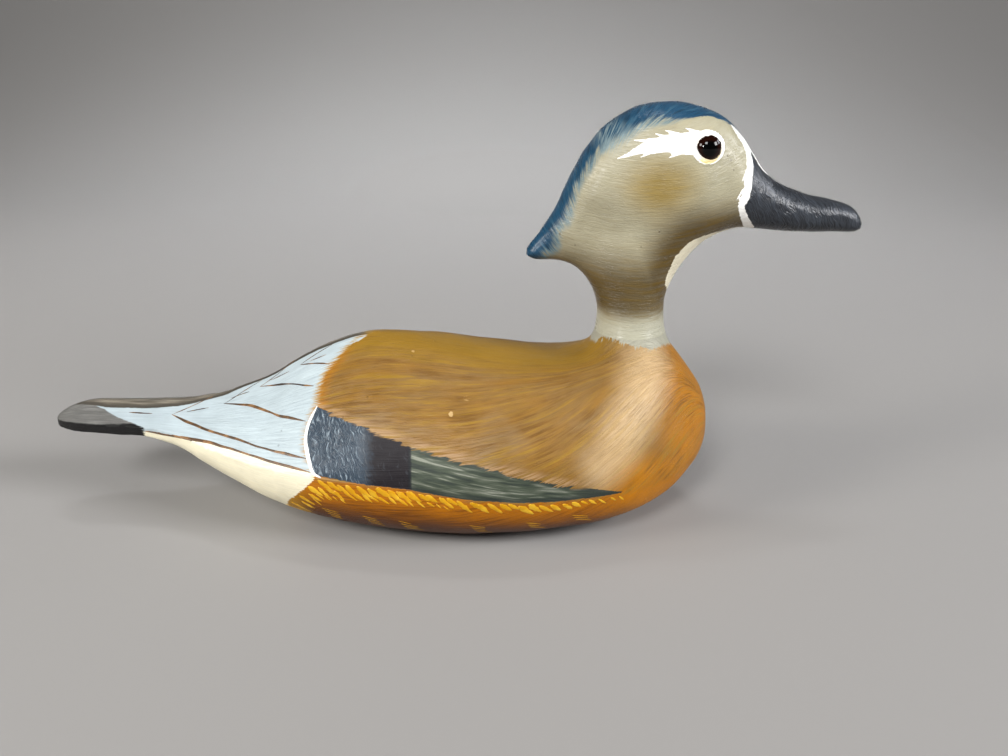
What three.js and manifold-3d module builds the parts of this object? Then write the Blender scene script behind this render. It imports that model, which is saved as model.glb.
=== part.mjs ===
// Hand-carved wooden decoy of a wood duck hen, life-size, resting on its flat underside.
// Millimetres. +X points to the bill, +Z is up, Y runs across the bird.
// The origin is the centre of the decoy's footprint, on the surface that it rests on.
import * as THREE from 'three';
import { mergeVertices } from 'three/addons/utils/BufferGeometryUtils.js';
import Module from 'manifold-3d';

const wasm = await Module();
wasm.setup();

// Driving dimensions
const tailEnd = -174; // back end of the decoy, which is 349 long over bill and tail
const breastEnd = 118; // front end of the body block
const tailRoot = -104; // where the tail leaves the rump
const headJoint = 84; // height of the joint between the head block and the body block
const kerf = 0.3; // gap between neighbouring pieces
const fillet = 11; // how softly the neck runs out into the body
const neckFrom = 60; // the neck shapes the body only above and ahead of here
const neckBack = 30;
const eyeRadius = 5.8;
const eyeStandOut = 2.8; // how far the glass stands out of the cheek
const eyePlace = { x: 105.3, z: 162.1 };
const bodyStep = 6; // facet size on the body
const headStep = 3.5; // facet size on the head
const halfCells = 10.5; // facets from the middle to either side, so that a row of corners runs along the ridge
const chineRow = 35.2; // a facet row starts just under the edge of the rump, so that corners run along it

// Cross-sections of the body block, from the tail to the breast. top, wide and bottom are heights:
// of the ridge, of the widest line and of the underside. half is half the width, and edge is the
// height of the blunt edge along the widest line. Full 2 is an ellipse, less is a roof, more a box.
const bodyStations = [
  { at: tailEnd, top: 43.4, wide: 42.4, bottom: 41.4, half: 0, edge: 2, fullTop: 2, fullBottom: 2 },
  { at: -168, top: 47.8, wide: 42.8, bottom: 40.6, half: 10, edge: 3.4, fullTop: 1.5, fullBottom: 2 },
  { at: -157, top: 50.6, wide: 42.7, bottom: 39.8, half: 13.4, edge: 4, fullTop: 1.25, fullBottom: 2.2 },
  { at: -142, top: 50.6, wide: 42.5, bottom: 39, half: 15, edge: 4, fullTop: 1.18, fullBottom: 2.2 },
  { at: -126, top: 50.7, wide: 42.1, bottom: 37, half: 17.2, edge: 3.6, fullTop: 1.18, fullBottom: 2.2 },
  { at: -110, top: 52, wide: 40.6, bottom: 30, half: 22.6, edge: 2.6, fullTop: 1.18, fullBottom: 2.2 },
  { at: -93, top: 56.3, wide: 38.6, bottom: 18.8, half: 31.4, edge: 1.5, fullTop: 1.22, fullBottom: 2.2 },
  { at: -73, top: 64.6, wide: 37, bottom: 9.6, half: 41, edge: 0.5, fullTop: 1.28, fullBottom: 2.2 },
  { at: -52, top: 76.4, wide: 36, bottom: 2.4, half: 47.8, edge: 0, fullTop: 1.38, fullBottom: 2.2 },
  { at: -32, top: 82.6, wide: 35.5, bottom: -0.8, half: 52, edge: 0, fullTop: 1.52, fullBottom: 2.2 },
  { at: -8, top: 80.8, wide: 35.2, bottom: -2.4, half: 55.6, edge: 0, fullTop: 1.75, fullBottom: 2.3 },
  { at: 18, top: 75.9, wide: 35, bottom: -2.5, half: 57.3, edge: 0, fullTop: 2, fullBottom: 2.3 },
  { at: 48, top: 72.8, wide: 35, bottom: -1.5, half: 53.5, edge: 0, fullTop: 2.2, fullBottom: 2.3 },
  { at: 78, top: 76.6, wide: 36, bottom: 1.8, half: 43.5, edge: 0, fullTop: 2.2, fullBottom: 2.3 },
  { at: 98, top: 75, wide: 37.5, bottom: 8, half: 29.8, edge: 0, fullTop: 2.1, fullBottom: 2.2 },
  { at: 111, top: 63, wide: 38.5, bottom: 19, half: 16.6, edge: 0, fullTop: 2, fullBottom: 2 },
  { at: breastEnd, top: 39, wide: 39, bottom: 39, half: 0, edge: 0, fullTop: 2, fullBottom: 2 },
];

// Side outline of the head block, [x, z], as it is sawn before it is rounded.
const headOutline = [
  [170.4, 137], [173.7, 133.6], [175.2, 129], [173, 126.8], [162, 126.4], [146, 126.9], // round the bill tip
  [132, 128], [123.4, 128.7], [115.2, 126.2], [108.6, 122.2], [103, 116], [98.6, 108.4], // chin and throat
  [95.8, 100.5], [95.4, 92], [97, 78], [96, 60], [82, 50], [68, 60], [66.6, 78], // front, foot and back of neck
  [67.2, 92], [65.4, 100.5], [61.3, 107.4], [55.6, 112.4], [48.6, 114.6], [40, 115.2], // nape, under the crest
  [36.3, 117.4], [42.2, 126.4], [47.6, 134.8], [51.7, 143.9], [55.9, 153.6], // back of the crest
  [61.4, 162.6], [69, 170.5], [79, 176], [90.8, 177.9], [102.9, 176.9], // crown
  [113.3, 173.2], [120.7, 167], [126.3, 159.3], [132.1, 151.6], [140, 146], // forehead
  [150.7, 142.2], [162, 139.8], // top of the bill
];

// How wide the head block is left along its middle lines, out to each side.
const headWidths = [
  { place: 'bill tip', x: 169.5, z: 131.6, half: 7 },
  { place: 'bill middle', x: 155, z: 133.2, half: 9.5 },
  { place: 'bill base', x: 139, z: 136, half: 10.8 },
  { place: 'lore', x: 120, z: 146, half: 15.5 },
  { place: 'cheek', x: 99, z: 147, half: 23 },
  { place: 'back of head', x: 78, z: 147, half: 20.5 },
  { place: 'back of crown', x: 66, z: 152, half: 15 },
  { place: 'crest', x: 56, z: 131, half: 10.5 },
  { place: 'crest tip', x: 43, z: 119, half: 3.5 },
  { place: 'throat', x: 84, z: 122, half: 17.5 },
  { place: 'neck', x: 81, z: 96, half: 14.2 },
  { place: 'neck foot', x: 81, z: 72, half: 17 },
];
const widthReach = 14; // how far the width of one place carries before the next one takes over

// Planes that part the head block, each through a point with its normal to the piece beyond.
const billPlane = { point: [131.5, 0, 140], normal: [1, 0, 0.05] };
const crestPlane = { point: [61, 0, 136], normal: [-1, 0, 0.22] };
const neckPlane = { point: [83, 0, 112], normal: [0.26, 0, -1] };

const outlineSides = 160; // straight sides that stand for the smooth outline
const roundShare = 1.05; // the rounding runs in from the outline just past the middle lines

// The softened distance sums the outline's sides by the sixth power of how near they are. softShare
// makes it true beside a straight side, and it takes over softFrom inside the outline.
const softShare = (5 * Math.PI) / 16;
const softFrom = 2;

const probe = 0.05; // how far apart a form is read to find its slope
const tiny = 1e-6; // keeps a division away from zero

// A smooth curve through the stations' values, carried on straight past both ends.
function smoothThrough(stations, pick) {
  const at = stations.map((station) => station.at);
  const value = stations.map(pick);
  const last = at.length - 1;
  const slope = at.map((_, i) => {
    const before = Math.max(i - 1, 0);
    const after = Math.min(i + 1, last);
    return (value[after] - value[before]) / (at[after] - at[before]);
  });
  return (x) => {
    if (x <= at[0]) return value[0] + slope[0] * (x - at[0]);
    if (x >= at[last]) return value[last] + slope[last] * (x - at[last]);
    let i = 0;
    while (x > at[i + 1]) i += 1;
    const run = at[i + 1] - at[i];
    const t = (x - at[i]) / run;
    const ease = t * t * (3 - 2 * t);
    const leave = t * (1 - t) * (1 - t) * run * slope[i];
    const arrive = t * t * (t - 1) * run * slope[i + 1];
    return value[i] + ease * (value[i + 1] - value[i]) + leave + arrive;
  };
}

// Heights and widths are carried as squares, so that the body closes in round ends.
const rise = (station) => station.top - station.wide - station.edge / 2;
const drop = (station) => station.wide - station.bottom - station.edge / 2;
const section = {
  wide: smoothThrough(bodyStations, (station) => station.wide),
  half: smoothThrough(bodyStations, (station) => station.half ** 2),
  rise: smoothThrough(bodyStations, (station) => rise(station) ** 2),
  drop: smoothThrough(bodyStations, (station) => drop(station) ** 2),
  edge: smoothThrough(bodyStations, (station) => station.edge),
  fullTop: smoothThrough(bodyStations, (station) => station.fullTop),
  fullBottom: smoothThrough(bodyStations, (station) => station.fullBottom),
};

// Forms are functions that are positive inside, zero on the surface and negative outside.
function bodyForm(x, y, z) {
  const above = z > section.wide(x);
  const width = section.half(x);
  const height = above ? section.rise(x) : section.drop(x);
  const full = above ? section.fullTop(x) : section.fullBottom(x);
  const stretch = height === 0 ? 1 : Math.sqrt(Math.max(width / height, tiny));
  const away = Math.max(Math.abs(z - section.wide(x)) - section.edge(x) / 2, 0) * stretch;
  return width - (Math.abs(y) ** full + away ** full) ** (2 / full);
}

const outline = (() => {
  const corners = headOutline.map(([x, z]) => new THREE.Vector3(x, 0, z));
  const points = new THREE.CatmullRomCurve3(corners, true, 'centripetal').getSpacedPoints(outlineSides);
  return points.slice(1).map((end, i) => {
    const start = points[i];
    const length = start.distanceTo(end);
    return {
      x: start.x, z: start.z, dx: end.x - start.x, dz: end.z - start.z, length,
      outX: -(end.z - start.z) / length, outZ: (end.x - start.x) / length,
    };
  });
})();

// Distance in from the outline, softened along the middle so that no ridge stands there.
function depthInside(x, z) {
  let nearest = Infinity;
  let inside = false;
  let sum = 0;
  for (const side of outline) {
    const px = x - side.x;
    const pz = z - side.z;
    const t = Math.min(Math.max((px * side.dx + pz * side.dz) / (side.length * side.length), 0), 1);
    nearest = Math.min(nearest, (px - t * side.dx) ** 2 + (pz - t * side.dz) ** 2);
    const crosses = side.z > z !== side.z + side.dz > z;
    if (crosses && x < side.x + ((z - side.z) / side.dz) * side.dx) inside = !inside;
    const mx = side.dx / 2 - px;
    const mz = side.dz / 2 - pz;
    sum += ((mx * side.outX + mz * side.outZ) * side.length) / (mx * mx + mz * mz) ** 4;
  }
  nearest = Math.sqrt(nearest);
  if (!inside) return -nearest;
  const soft = (softShare / Math.max(sum, tiny ** 2)) ** (1 / 6);
  const settle = THREE.MathUtils.smoothstep(nearest, softFrom, 2 * softFrom);
  return nearest + (Math.min(soft, nearest) - nearest) * settle;
}

// The rounding reaches from the outline in to the middle lines, where the full width stands.
const widthPlaces = headWidths.map((place) => ({ ...place, round: roundShare * depthInside(place.x, place.z) }));

function headSize(x, z) {
  let total = 0;
  let half = 0;
  let round = 0;
  for (const place of widthPlaces) {
    const weight = 1 / ((x - place.x) ** 2 + (z - place.z) ** 2 + widthReach ** 2) ** 2;
    total += weight;
    half += weight * place.half;
    round += weight * place.round;
  }
  return { half: half / total, round: round / total };
}

function headForm(x, y, z) {
  const { half, round } = headSize(x, z);
  const edge = 1 - Math.min(depthInside(x, z) / round, 1);
  return 1 - (y / half) ** 2 - edge * edge;
}

// Divides a form by its slope, which makes it close to a distance in millimetres.
function asDistance(form, x, y, z) {
  const value = form(x, y, z);
  const slope = Math.hypot(
    form(x + probe, y, z) - value, form(x, y + probe, z) - value, form(x, y, z + probe) - value,
  ) / probe;
  return value / Math.max(slope, tiny);
}

function duckForm(x, y, z) {
  const body = asDistance(bodyForm, x, y, z);
  if (z < neckFrom || x < neckBack) return body;
  const head = asDistance(headForm, x, y, z);
  const blend = Math.min(Math.max(0.5 + (head - body) / (2 * fillet), 0), 1);
  return body + (head - body) * blend + fillet * blend * (1 - blend);
}

// Wraps a form in a net of facets: one corner in each cell that the surface crosses, and one
// four-sided facet around each cell edge that it crosses. The box's outer layer counts as outside.
function wrapForm(form, low, high, step) {
  const size = low.map((from, axis) => Math.ceil((high[axis] - from) / step) + 1);
  const stride = [1, size[0], size[0] * size[1]];
  const place = (at, axis) => low[axis] + at[axis] * step;
  const value = new Float64Array(size[0] * size[1] * size[2]);
  for (let k = 0, n = 0; k < size[2]; k += 1) {
    for (let j = 0; j < size[1]; j += 1) {
      for (let i = 0; i < size[0]; i += 1, n += 1) {
        const at = [i, j, k];
        value[n] = form(place(at, 0), place(at, 1), place(at, 2));
        if (at.some((c, axis) => c === 0 || c === size[axis] - 1)) value[n] = Math.min(value[n], -step / 2);
      }
    }
  }
  const corners = [];
  const cornerOf = new Int32Array(value.length).fill(-1);
  for (let k = 0; k < size[2] - 1; k += 1) {
    for (let j = 0; j < size[1] - 1; j += 1) {
      for (let i = 0; i < size[0] - 1; i += 1) {
        const n = i * stride[0] + j * stride[1] + k * stride[2];
        const sum = new THREE.Vector3();
        let crossed = 0;
        for (let axis = 0; axis < 3; axis += 1) {
          const [u, v] = [(axis + 1) % 3, (axis + 2) % 3];
          for (const [a, b] of [[0, 0], [1, 0], [0, 1], [1, 1]]) {
            const start = n + a * stride[u] + b * stride[v];
            const [from, to] = [value[start], value[start + stride[axis]]];
            if (from > 0 !== to > 0) {
              const offset = [0, 0, 0];
              offset[axis] = from / (from - to);
              offset[u] = a;
              offset[v] = b;
              sum.add(new THREE.Vector3(...offset));
              crossed += 1;
            }
          }
        }
        if (crossed > 0) {
          const atRim = [i, j, k].some((c, axis) => c === 0 || c === size[axis] - 2);
          const corner = sum.divideScalar(crossed).add(new THREE.Vector3(i, j, k)).multiplyScalar(step);
          corner.add(new THREE.Vector3(...low));
          cornerOf[n] = corners.length;
          corners.push(atRim ? corner : settleOn(form, corner, step / 2));
        }
      }
    }
  }
  const facets = [];
  for (let k = 0; k < size[2] - 1; k += 1) {
    for (let j = 0; j < size[1] - 1; j += 1) {
      for (let i = 0; i < size[0] - 1; i += 1) {
        const n = i * stride[0] + j * stride[1] + k * stride[2];
        for (let axis = 0; axis < 3; axis += 1) {
          const [u, v] = [(axis + 1) % 3, (axis + 2) % 3];
          const starts = value[n] > 0;
          if (starts !== value[n + stride[axis]] > 0) {
            const ring = [
              cornerOf[n - stride[u] - stride[v]], cornerOf[n - stride[v]],
              cornerOf[n], cornerOf[n - stride[u]],
            ];
            if (!starts) ring.reverse();
            const [a, b, c, d] = ring;
            const short = corners[a].distanceTo(corners[c]) < corners[b].distanceTo(corners[d]);
            facets.push(...(short ? [a, b, c, a, c, d] : [a, b, d, b, c, d]));
          }
        }
      }
    }
  }
  return facetGeometry(corners, facets);
}

// Moves a corner onto the surface by a few steps along the form's slope.
function settleOn(form, corner, reach) {
  const point = corner.clone();
  for (let pass = 0; pass < 4; pass += 1) {
    const value = form(point.x, point.y, point.z);
    const slope = new THREE.Vector3(
      form(point.x + probe, point.y, point.z) - value,
      form(point.x, point.y + probe, point.z) - value,
      form(point.x, point.y, point.z + probe) - value,
    ).divideScalar(probe);
    point.addScaledVector(slope, -value / Math.max(slope.lengthSq(), tiny));
  }
  return point.distanceTo(corner) > reach ? corner : point;
}

function facetGeometry(corners, facets) {
  const geometry = new THREE.BufferGeometry();
  geometry.setAttribute('position', new THREE.Float32BufferAttribute(corners.flatMap((c) => [c.x, c.y, c.z]), 3));
  geometry.setIndex(facets);
  return geometry;
}

function toSolid(geometry) {
  const bare = geometry.clone();
  bare.deleteAttribute('normal');
  bare.deleteAttribute('uv');
  const merged = mergeVertices(bare);
  return new wasm.Manifold(new wasm.Mesh({
    numProp: 3,
    vertProperties: new Float32Array(merged.attributes.position.array),
    triVerts: new Uint32Array(merged.index.array),
  }));
}

function toGeometry(solid) {
  const pieces = solid.decompose();
  const largest = pieces.reduce((best, piece) => (piece.volume() > best.volume() ? piece : best));
  const mesh = largest.getMesh();
  const geometry = new THREE.BufferGeometry();
  geometry.setAttribute('position', new THREE.BufferAttribute(new Float32Array(mesh.vertProperties), 3));
  geometry.setIndex(new THREE.BufferAttribute(new Uint32Array(mesh.triVerts), 1));
  geometry.computeVertexNormals();
  return geometry;
}

// A block that fills everything on the normal's side of a plane, from half a kerf before it.
function blockBeyond({ point, normal }) {
  const side = 2 * (breastEnd - tailEnd);
  const toward = new THREE.Vector3(...normal).normalize();
  const block = new THREE.BoxGeometry(side, side, side);
  block.translate(0, 0, side / 2 - kerf / 2);
  block.applyQuaternion(new THREE.Quaternion().setFromUnitVectors(new THREE.Vector3(0, 0, 1), toward));
  block.translate(...point);
  return toSolid(block);
}

const flip = ({ point, normal }) => ({ point, normal: normal.map((n) => -n) });

// Tail: rings of the same cross-sections, closed at both ends.
function tailGeometry() {
  const arc = 12; // facets over the top and under the bottom of one ring
  const ringCount = 17;
  const crowding = 1.6; // how much closer the rings stand at the tip
  const tip = tailEnd + 0.4; // the tip is cut off square where it is almost closed
  const root = tailRoot - kerf / 2;
  const corners = [];
  const facets = [];
  const ringSize = 2 * (arc + 1);
  for (let ring = 0; ring < ringCount; ring += 1) {
    const x = tip + (root - tip) * (ring / (ringCount - 1)) ** crowding;
    const half = Math.sqrt(section.half(x));
    for (const up of [1, -1]) {
      const height = Math.sqrt(up > 0 ? section.rise(x) : section.drop(x));
      const power = 2 / (up > 0 ? section.fullTop(x) : section.fullBottom(x));
      for (let i = 0; i <= arc; i += 1) {
        const turn = (up > 0 ? 0 : Math.PI) + (Math.PI * i) / arc;
        const [side, lift] = [Math.cos(turn), Math.abs(Math.sin(turn))];
        const y = half * Math.sign(side) * Math.abs(side) ** power;
        const z = section.wide(x) + up * (section.edge(x) / 2 + height * lift ** power);
        corners.push(new THREE.Vector3(x, y, z));
      }
    }
  }
  for (let ring = 0; ring < ringCount - 1; ring += 1) {
    for (let i = 0; i < ringSize; i += 1) {
      const a = ring * ringSize + i;
      const b = ring * ringSize + ((i + 1) % ringSize);
      facets.push(a, b, a + ringSize, b, b + ringSize, a + ringSize);
    }
  }
  for (const [ring, outward] of [[0, -1], [ringCount - 1, 1]]) {
    const first = ring * ringSize;
    const x = corners[first].x;
    const hub = corners.push(new THREE.Vector3(x, 0, section.wide(x))) - 1;
    for (let i = 0; i < ringSize; i += 1) {
      const [a, b] = [first + i, first + ((i + 1) % ringSize)];
      facets.push(...(outward > 0 ? [hub, a, b] : [hub, b, a]));
    }
  }
  return facetGeometry(corners, facets);
}

// Body block: the torso, flat underneath, and the tail.
const jointPlane = { point: [0, 0, headJoint], normal: [0, 0, 1] };
const torsoLow = [tailRoot - 2 * bodyStep, -halfCells * bodyStep, chineRow - 8 * bodyStep];
const torsoHigh = [breastEnd + bodyStep, halfCells * bodyStep, headJoint + 2 * bodyStep];
const torso = toSolid(wrapForm(duckForm, torsoLow, torsoHigh, bodyStep))
  .subtract(blockBeyond(jointPlane))
  .subtract(blockBeyond({ point: [tailRoot, 0, 0], normal: [-1, 0, 0] }))
  .subtract(blockBeyond({ point: [0, 0, -kerf / 2], normal: [0, 0, -1] }));

// Head block: neck, head, crest and bill, cut from one carved form, with pockets for the eyes.
const headLow = [28, -halfCells * headStep, headJoint - 3 * headStep];
const headHigh = [182, halfCells * headStep, 186];
const headBlock = toSolid(wrapForm(duckForm, headLow, headHigh, headStep))
  .subtract(blockBeyond(flip(jointPlane)));
const bill = headBlock.subtract(blockBeyond(flip(billPlane)));
const behindBill = headBlock.subtract(blockBeyond(billPlane));
const neck = behindBill.subtract(blockBeyond(flip(neckPlane)));
const skull = behindBill.subtract(blockBeyond(neckPlane));
const crest = skull.subtract(blockBeyond(flip(crestPlane)));
let head = skull.subtract(blockBeyond(crestPlane));

// Each eye is a glass ball sunk into the cheek at its place.
const cheekAtEye = (() => {
  let y = 0;
  while (duckForm(eyePlace.x, y, eyePlace.z) > 0) y += probe;
  return y;
})();
const eyeSide = cheekAtEye + eyeStandOut - eyeRadius;
const ball = (radius, side) => new THREE.SphereGeometry(radius, 14, 8)
  .rotateX(Math.PI / 2 * side)
  .translate(eyePlace.x, side * eyeSide, eyePlace.z);
for (const side of [1, -1]) head = head.subtract(toSolid(ball(eyeRadius + kerf, side)));

// Paint colours: olive-grey head, black bill, golden-brown body, charcoal tail.
const paint = {
  bill: { color: 0x1b1b1d, roughness: 0.38 },
  head: { color: 0x77745a, roughness: 0.42 },
  crest: { color: 0x35506a, roughness: 0.42 },
  neck: { color: 0x77715a, roughness: 0.42 },
  torso: { color: 0x8f6428, roughness: 0.45 },
  tail: { color: 0x3a3b3c, roughness: 0.45 },
  eye: { color: 0x0c0706, roughness: 0.04 },
};

function piece(name, geometry, { color, roughness }) {
  const mesh = new THREE.Mesh(geometry, new THREE.MeshStandardMaterial({ color, roughness, metalness: 0 }));
  mesh.name = name;
  return mesh;
}

const headGroup = new THREE.Group();
headGroup.add(
  piece('bill', toGeometry(bill), paint.bill),
  piece('head', toGeometry(head), paint.head),
  piece('crest', toGeometry(crest), paint.crest),
  piece('neck', toGeometry(neck), paint.neck),
  piece('eye_left', ball(eyeRadius, 1), paint.eye),
  piece('eye_right', ball(eyeRadius, -1), paint.eye),
);
const bodyGroup = new THREE.Group();
bodyGroup.add(
  piece('torso', toGeometry(torso), paint.torso),
  piece('tail', tailGeometry(), paint.tail),
);

const decoy = new THREE.Group();
decoy.add(headGroup, bodyGroup);

export default decoy;
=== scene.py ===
# A hand-carved, hand-painted wooden decoy of a wood duck hen with glass eyes, resting on a pale floor.
# Forms and paint are worked out in millimetres in the frame, and meshes are made in metres.
import math
import bmesh
import bpy
import numpy as np
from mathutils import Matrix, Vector


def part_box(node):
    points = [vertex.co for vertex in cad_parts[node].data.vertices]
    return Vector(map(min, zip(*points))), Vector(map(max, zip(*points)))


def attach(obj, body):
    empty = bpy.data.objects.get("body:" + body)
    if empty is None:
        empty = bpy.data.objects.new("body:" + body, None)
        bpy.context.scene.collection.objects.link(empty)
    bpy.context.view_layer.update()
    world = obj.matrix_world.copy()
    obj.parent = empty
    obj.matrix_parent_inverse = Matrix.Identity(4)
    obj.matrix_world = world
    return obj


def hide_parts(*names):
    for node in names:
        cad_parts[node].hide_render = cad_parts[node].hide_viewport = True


camera = {"place": (0.027, -0.35313, 0.19655), "pitch": 69, "lens": 30.36, "sensor": 36, "nearest": 0.01}

view = bpy.data.cameras.new("camera")
view.lens = camera["lens"]
view.sensor_width = camera["sensor"]
view.clip_start = camera["nearest"]
viewer = bpy.data.objects.new("camera", view)
viewer.location = camera["place"]
viewer.rotation_euler = (math.radians(camera["pitch"]), 0, 0)
bpy.context.scene.collection.objects.link(viewer)
bpy.context.scene.camera = viewer
bpy.context.scene.view_settings.view_transform = "Standard"

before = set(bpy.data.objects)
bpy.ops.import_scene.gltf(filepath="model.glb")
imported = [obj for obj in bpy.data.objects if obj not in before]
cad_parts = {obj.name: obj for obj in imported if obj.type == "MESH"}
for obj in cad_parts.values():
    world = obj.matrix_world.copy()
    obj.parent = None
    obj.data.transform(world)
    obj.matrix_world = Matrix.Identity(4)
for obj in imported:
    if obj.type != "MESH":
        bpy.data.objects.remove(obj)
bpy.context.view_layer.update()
mm = 0.001
tiny = 1e-6


def nodeBox(name):
    low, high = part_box(name)
    return np.array(low) / mm, np.array(high) / mm


eyeLow, eyeHigh = nodeBox("eye_left")
eyeCentre = (eyeLow + eyeHigh) / 2
eyeRadius = (eyeHigh[0] - eyeLow[0]) / 2
headJoint = (nodeBox("torso")[1][2] + nodeBox("neck")[0][2]) / 2  # height where the head block is glued on
print("frame: eye at", eyeCentre.round(1), "head joint at", round(float(headJoint), 1))

# The carved block. Each section is (place, top, widest line, underside, half width, blunt edge,
# fullness above, fullness below); a fullness of 2 is an ellipse, less is a roof, more a box.
bodyShape = {
    "sections": [
        (-174, 43.4, 42.4, 41.4, 0, 2, 2, 2),
        (-168, 47.8, 42.8, 40.6, 10, 3.4, 1.5, 2),
        (-157, 50.6, 42.7, 39.8, 13.4, 4, 1.25, 2.2),
        (-142, 50.6, 42.5, 39, 15, 4, 1.18, 2.2),
        (-126, 50.7, 42.1, 37, 17.2, 3.6, 1.18, 2.2),
        (-110, 52, 40.6, 30, 22.6, 2.6, 1.18, 2.2),
        (-93, 56.3, 38.6, 18.8, 31.4, 1.5, 1.22, 2.2),
        (-73, 64.6, 37, 9.6, 41, 0.5, 1.28, 2.2),
        (-52, 76.4, 36, 2.4, 47.8, 0, 1.38, 2.2),
        (-32, 82.6, 35.5, -0.8, 52, 0, 1.52, 2.2),
        (-8, 80.8, 35.2, -2.4, 55.6, 0, 1.75, 2.3),
        (18, 75.9, 35, -2.5, 57.3, 0, 2, 2.3),
        (48, 72.8, 35, -1.5, 53.5, 0, 2.2, 2.3),
        (78, 76.6, 36, 1.8, 43.5, 0, 2.2, 2.3),
        (98, 75, 37.5, 8, 29.8, 0, 2.1, 2.2),
        (111, 63, 38.5, 19, 16.6, 0, 2, 2),
        (118, 39, 39, 39, 0, 0, 2, 2),
    ],
    "fillet": 11,  # how softly the neck runs out into the body
    "neckFrom": 60,  # above this height and ahead of this place the head's form counts too
    "neckBack": 30,
}

# The head is sawn to a side outline, then rounded to a half width given along its middle lines.
headShape = {
    "outline": [
        (170.4, 137), (173.7, 133.6), (175.2, 129), (173, 126.8), (162, 126.4), (146, 126.9),
        (132, 128), (123.4, 128.7), (115.2, 126.2), (108.6, 122.2), (103, 116), (98.6, 108.4),
        (95.8, 100.5), (95.4, 92), (97, 78), (96, 60), (82, 50), (68, 60), (66.6, 78),
        (67.2, 92), (65.4, 100.5), (61.3, 107.4), (55.6, 112.4), (48.6, 114.6), (40, 115.2),
        (36.3, 117.4), (42.2, 126.4), (47.6, 134.8), (51.7, 143.9), (55.9, 153.6),
        (61.4, 162.6), (69, 170.5), (79, 176), (90.8, 177.9), (102.9, 176.9),
        (113.3, 173.2), (120.7, 167), (126.3, 159.3), (132.1, 151.6), (140, 146),
        (150.7, 142.2), (162, 139.8),
    ],
    "widths": [
        (169.5, 131.6, 7), (155, 133.2, 9.5), (139, 136, 10.8), (120, 146, 15.5),
        (99, 147, 23), (78, 147, 20.5), (66, 152, 15), (56, 131, 10.5),
        (43, 119, 3.5), (84, 122, 17.5), (81, 96, 14.2), (81, 72, 17),
    ],
    "sides": 160,
    "roundShare": 1.05,  # how far in from the outline the rounding goes, as a share of the depth there
    "widthReach": 14,  # how near a width has to be to count most
    "softShare": 5 * math.pi / 16,
    "softFrom": 2,
    "curveSteps": 40,
}


# A smooth curve through values at places, carried on straight past both ends.
def smoothThrough(at, value):
    at = np.array(at, float)
    value = np.array(value, float)
    count = len(at)
    before = np.maximum(np.arange(count) - 1, 0)
    after = np.minimum(np.arange(count) + 1, count - 1)
    slope = (value[after] - value[before]) / (at[after] - at[before])

    def curve(x):
        i = np.clip(np.searchsorted(at, x, side="right") - 1, 0, count - 2)
        run = at[i + 1] - at[i]
        t = (x - at[i]) / run
        inner = np.clip(t, 0, 1)
        ease = inner * inner * (3 - 2 * inner)
        leave = inner * (1 - inner) ** 2 * run * slope[i]
        arrive = inner * inner * (inner - 1) * run * slope[i + 1]
        past = (t - inner) * run * np.where(t < 0, slope[i], slope[i + 1])
        return value[i] + ease * (value[i + 1] - value[i]) + leave + arrive + past

    return curve


def makeSection():
    at, top, wide, bottom, half, edge, fullTop, fullBottom = np.array(bodyShape["sections"], float).T
    return {
        "wide": smoothThrough(at, wide),
        "half": smoothThrough(at, half**2),
        "rise": smoothThrough(at, (top - wide - edge / 2) ** 2),
        "drop": smoothThrough(at, (wide - bottom - edge / 2) ** 2),
        "edge": smoothThrough(at, edge),
        "fullTop": smoothThrough(at, fullTop),
        "fullBottom": smoothThrough(at, fullBottom),
    }


section = makeSection()


# Forms are positive inside the wood, zero on its surface and negative outside.
def bodyForm(x, y, z):
    wide = section["wide"](x)
    above = z > wide
    width = section["half"](x)
    height = np.where(above, section["rise"](x), section["drop"](x))
    full = np.where(above, section["fullTop"](x), section["fullBottom"](x))
    ratio = np.divide(width, height, out=np.ones_like(height), where=height != 0)
    away = np.maximum(np.abs(z - wide) - section["edge"](x) / 2, 0) * np.sqrt(np.maximum(ratio, tiny))
    return width - (np.abs(y) ** full + away**full) ** (2 / full)


# The sawn outline as one smooth closed curve with even steps.
def roundedOutline():
    corners = np.array(headShape["outline"], float)
    fine = []
    for i in range(len(corners)):
        p0, p1, p2, p3 = (corners[(i + k - 1) % len(corners)] for k in range(4))
        d0, d1, d2 = (np.sqrt(np.linalg.norm(b - a)) for a, b in ((p0, p1), (p1, p2), (p2, p3)))
        t1 = ((p1 - p0) / d0 - (p2 - p0) / (d0 + d1) + (p2 - p1) / d1) * d1
        t2 = ((p2 - p1) / d1 - (p3 - p1) / (d1 + d2) + (p3 - p2) / d2) * d1
        for t in np.linspace(0, 1, headShape["curveSteps"], endpoint=False):
            a = (1 + 2 * t) * (1 - t) ** 2
            b = t * (1 - t) ** 2
            c = t * t * (3 - 2 * t)
            d = t * t * (t - 1)
            fine.append(a * p1 + b * t1 + c * p2 + d * t2)
    fine = np.array(fine + [fine[0]])
    run = np.concatenate([[0], np.cumsum(np.linalg.norm(np.diff(fine, axis=0), axis=1))])
    spaced = np.linspace(0, run[-1], headShape["sides"] + 1)
    return np.stack([np.interp(spaced, run, fine[:, axis]) for axis in (0, 1)], axis=1)


outline = roundedOutline()


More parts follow.
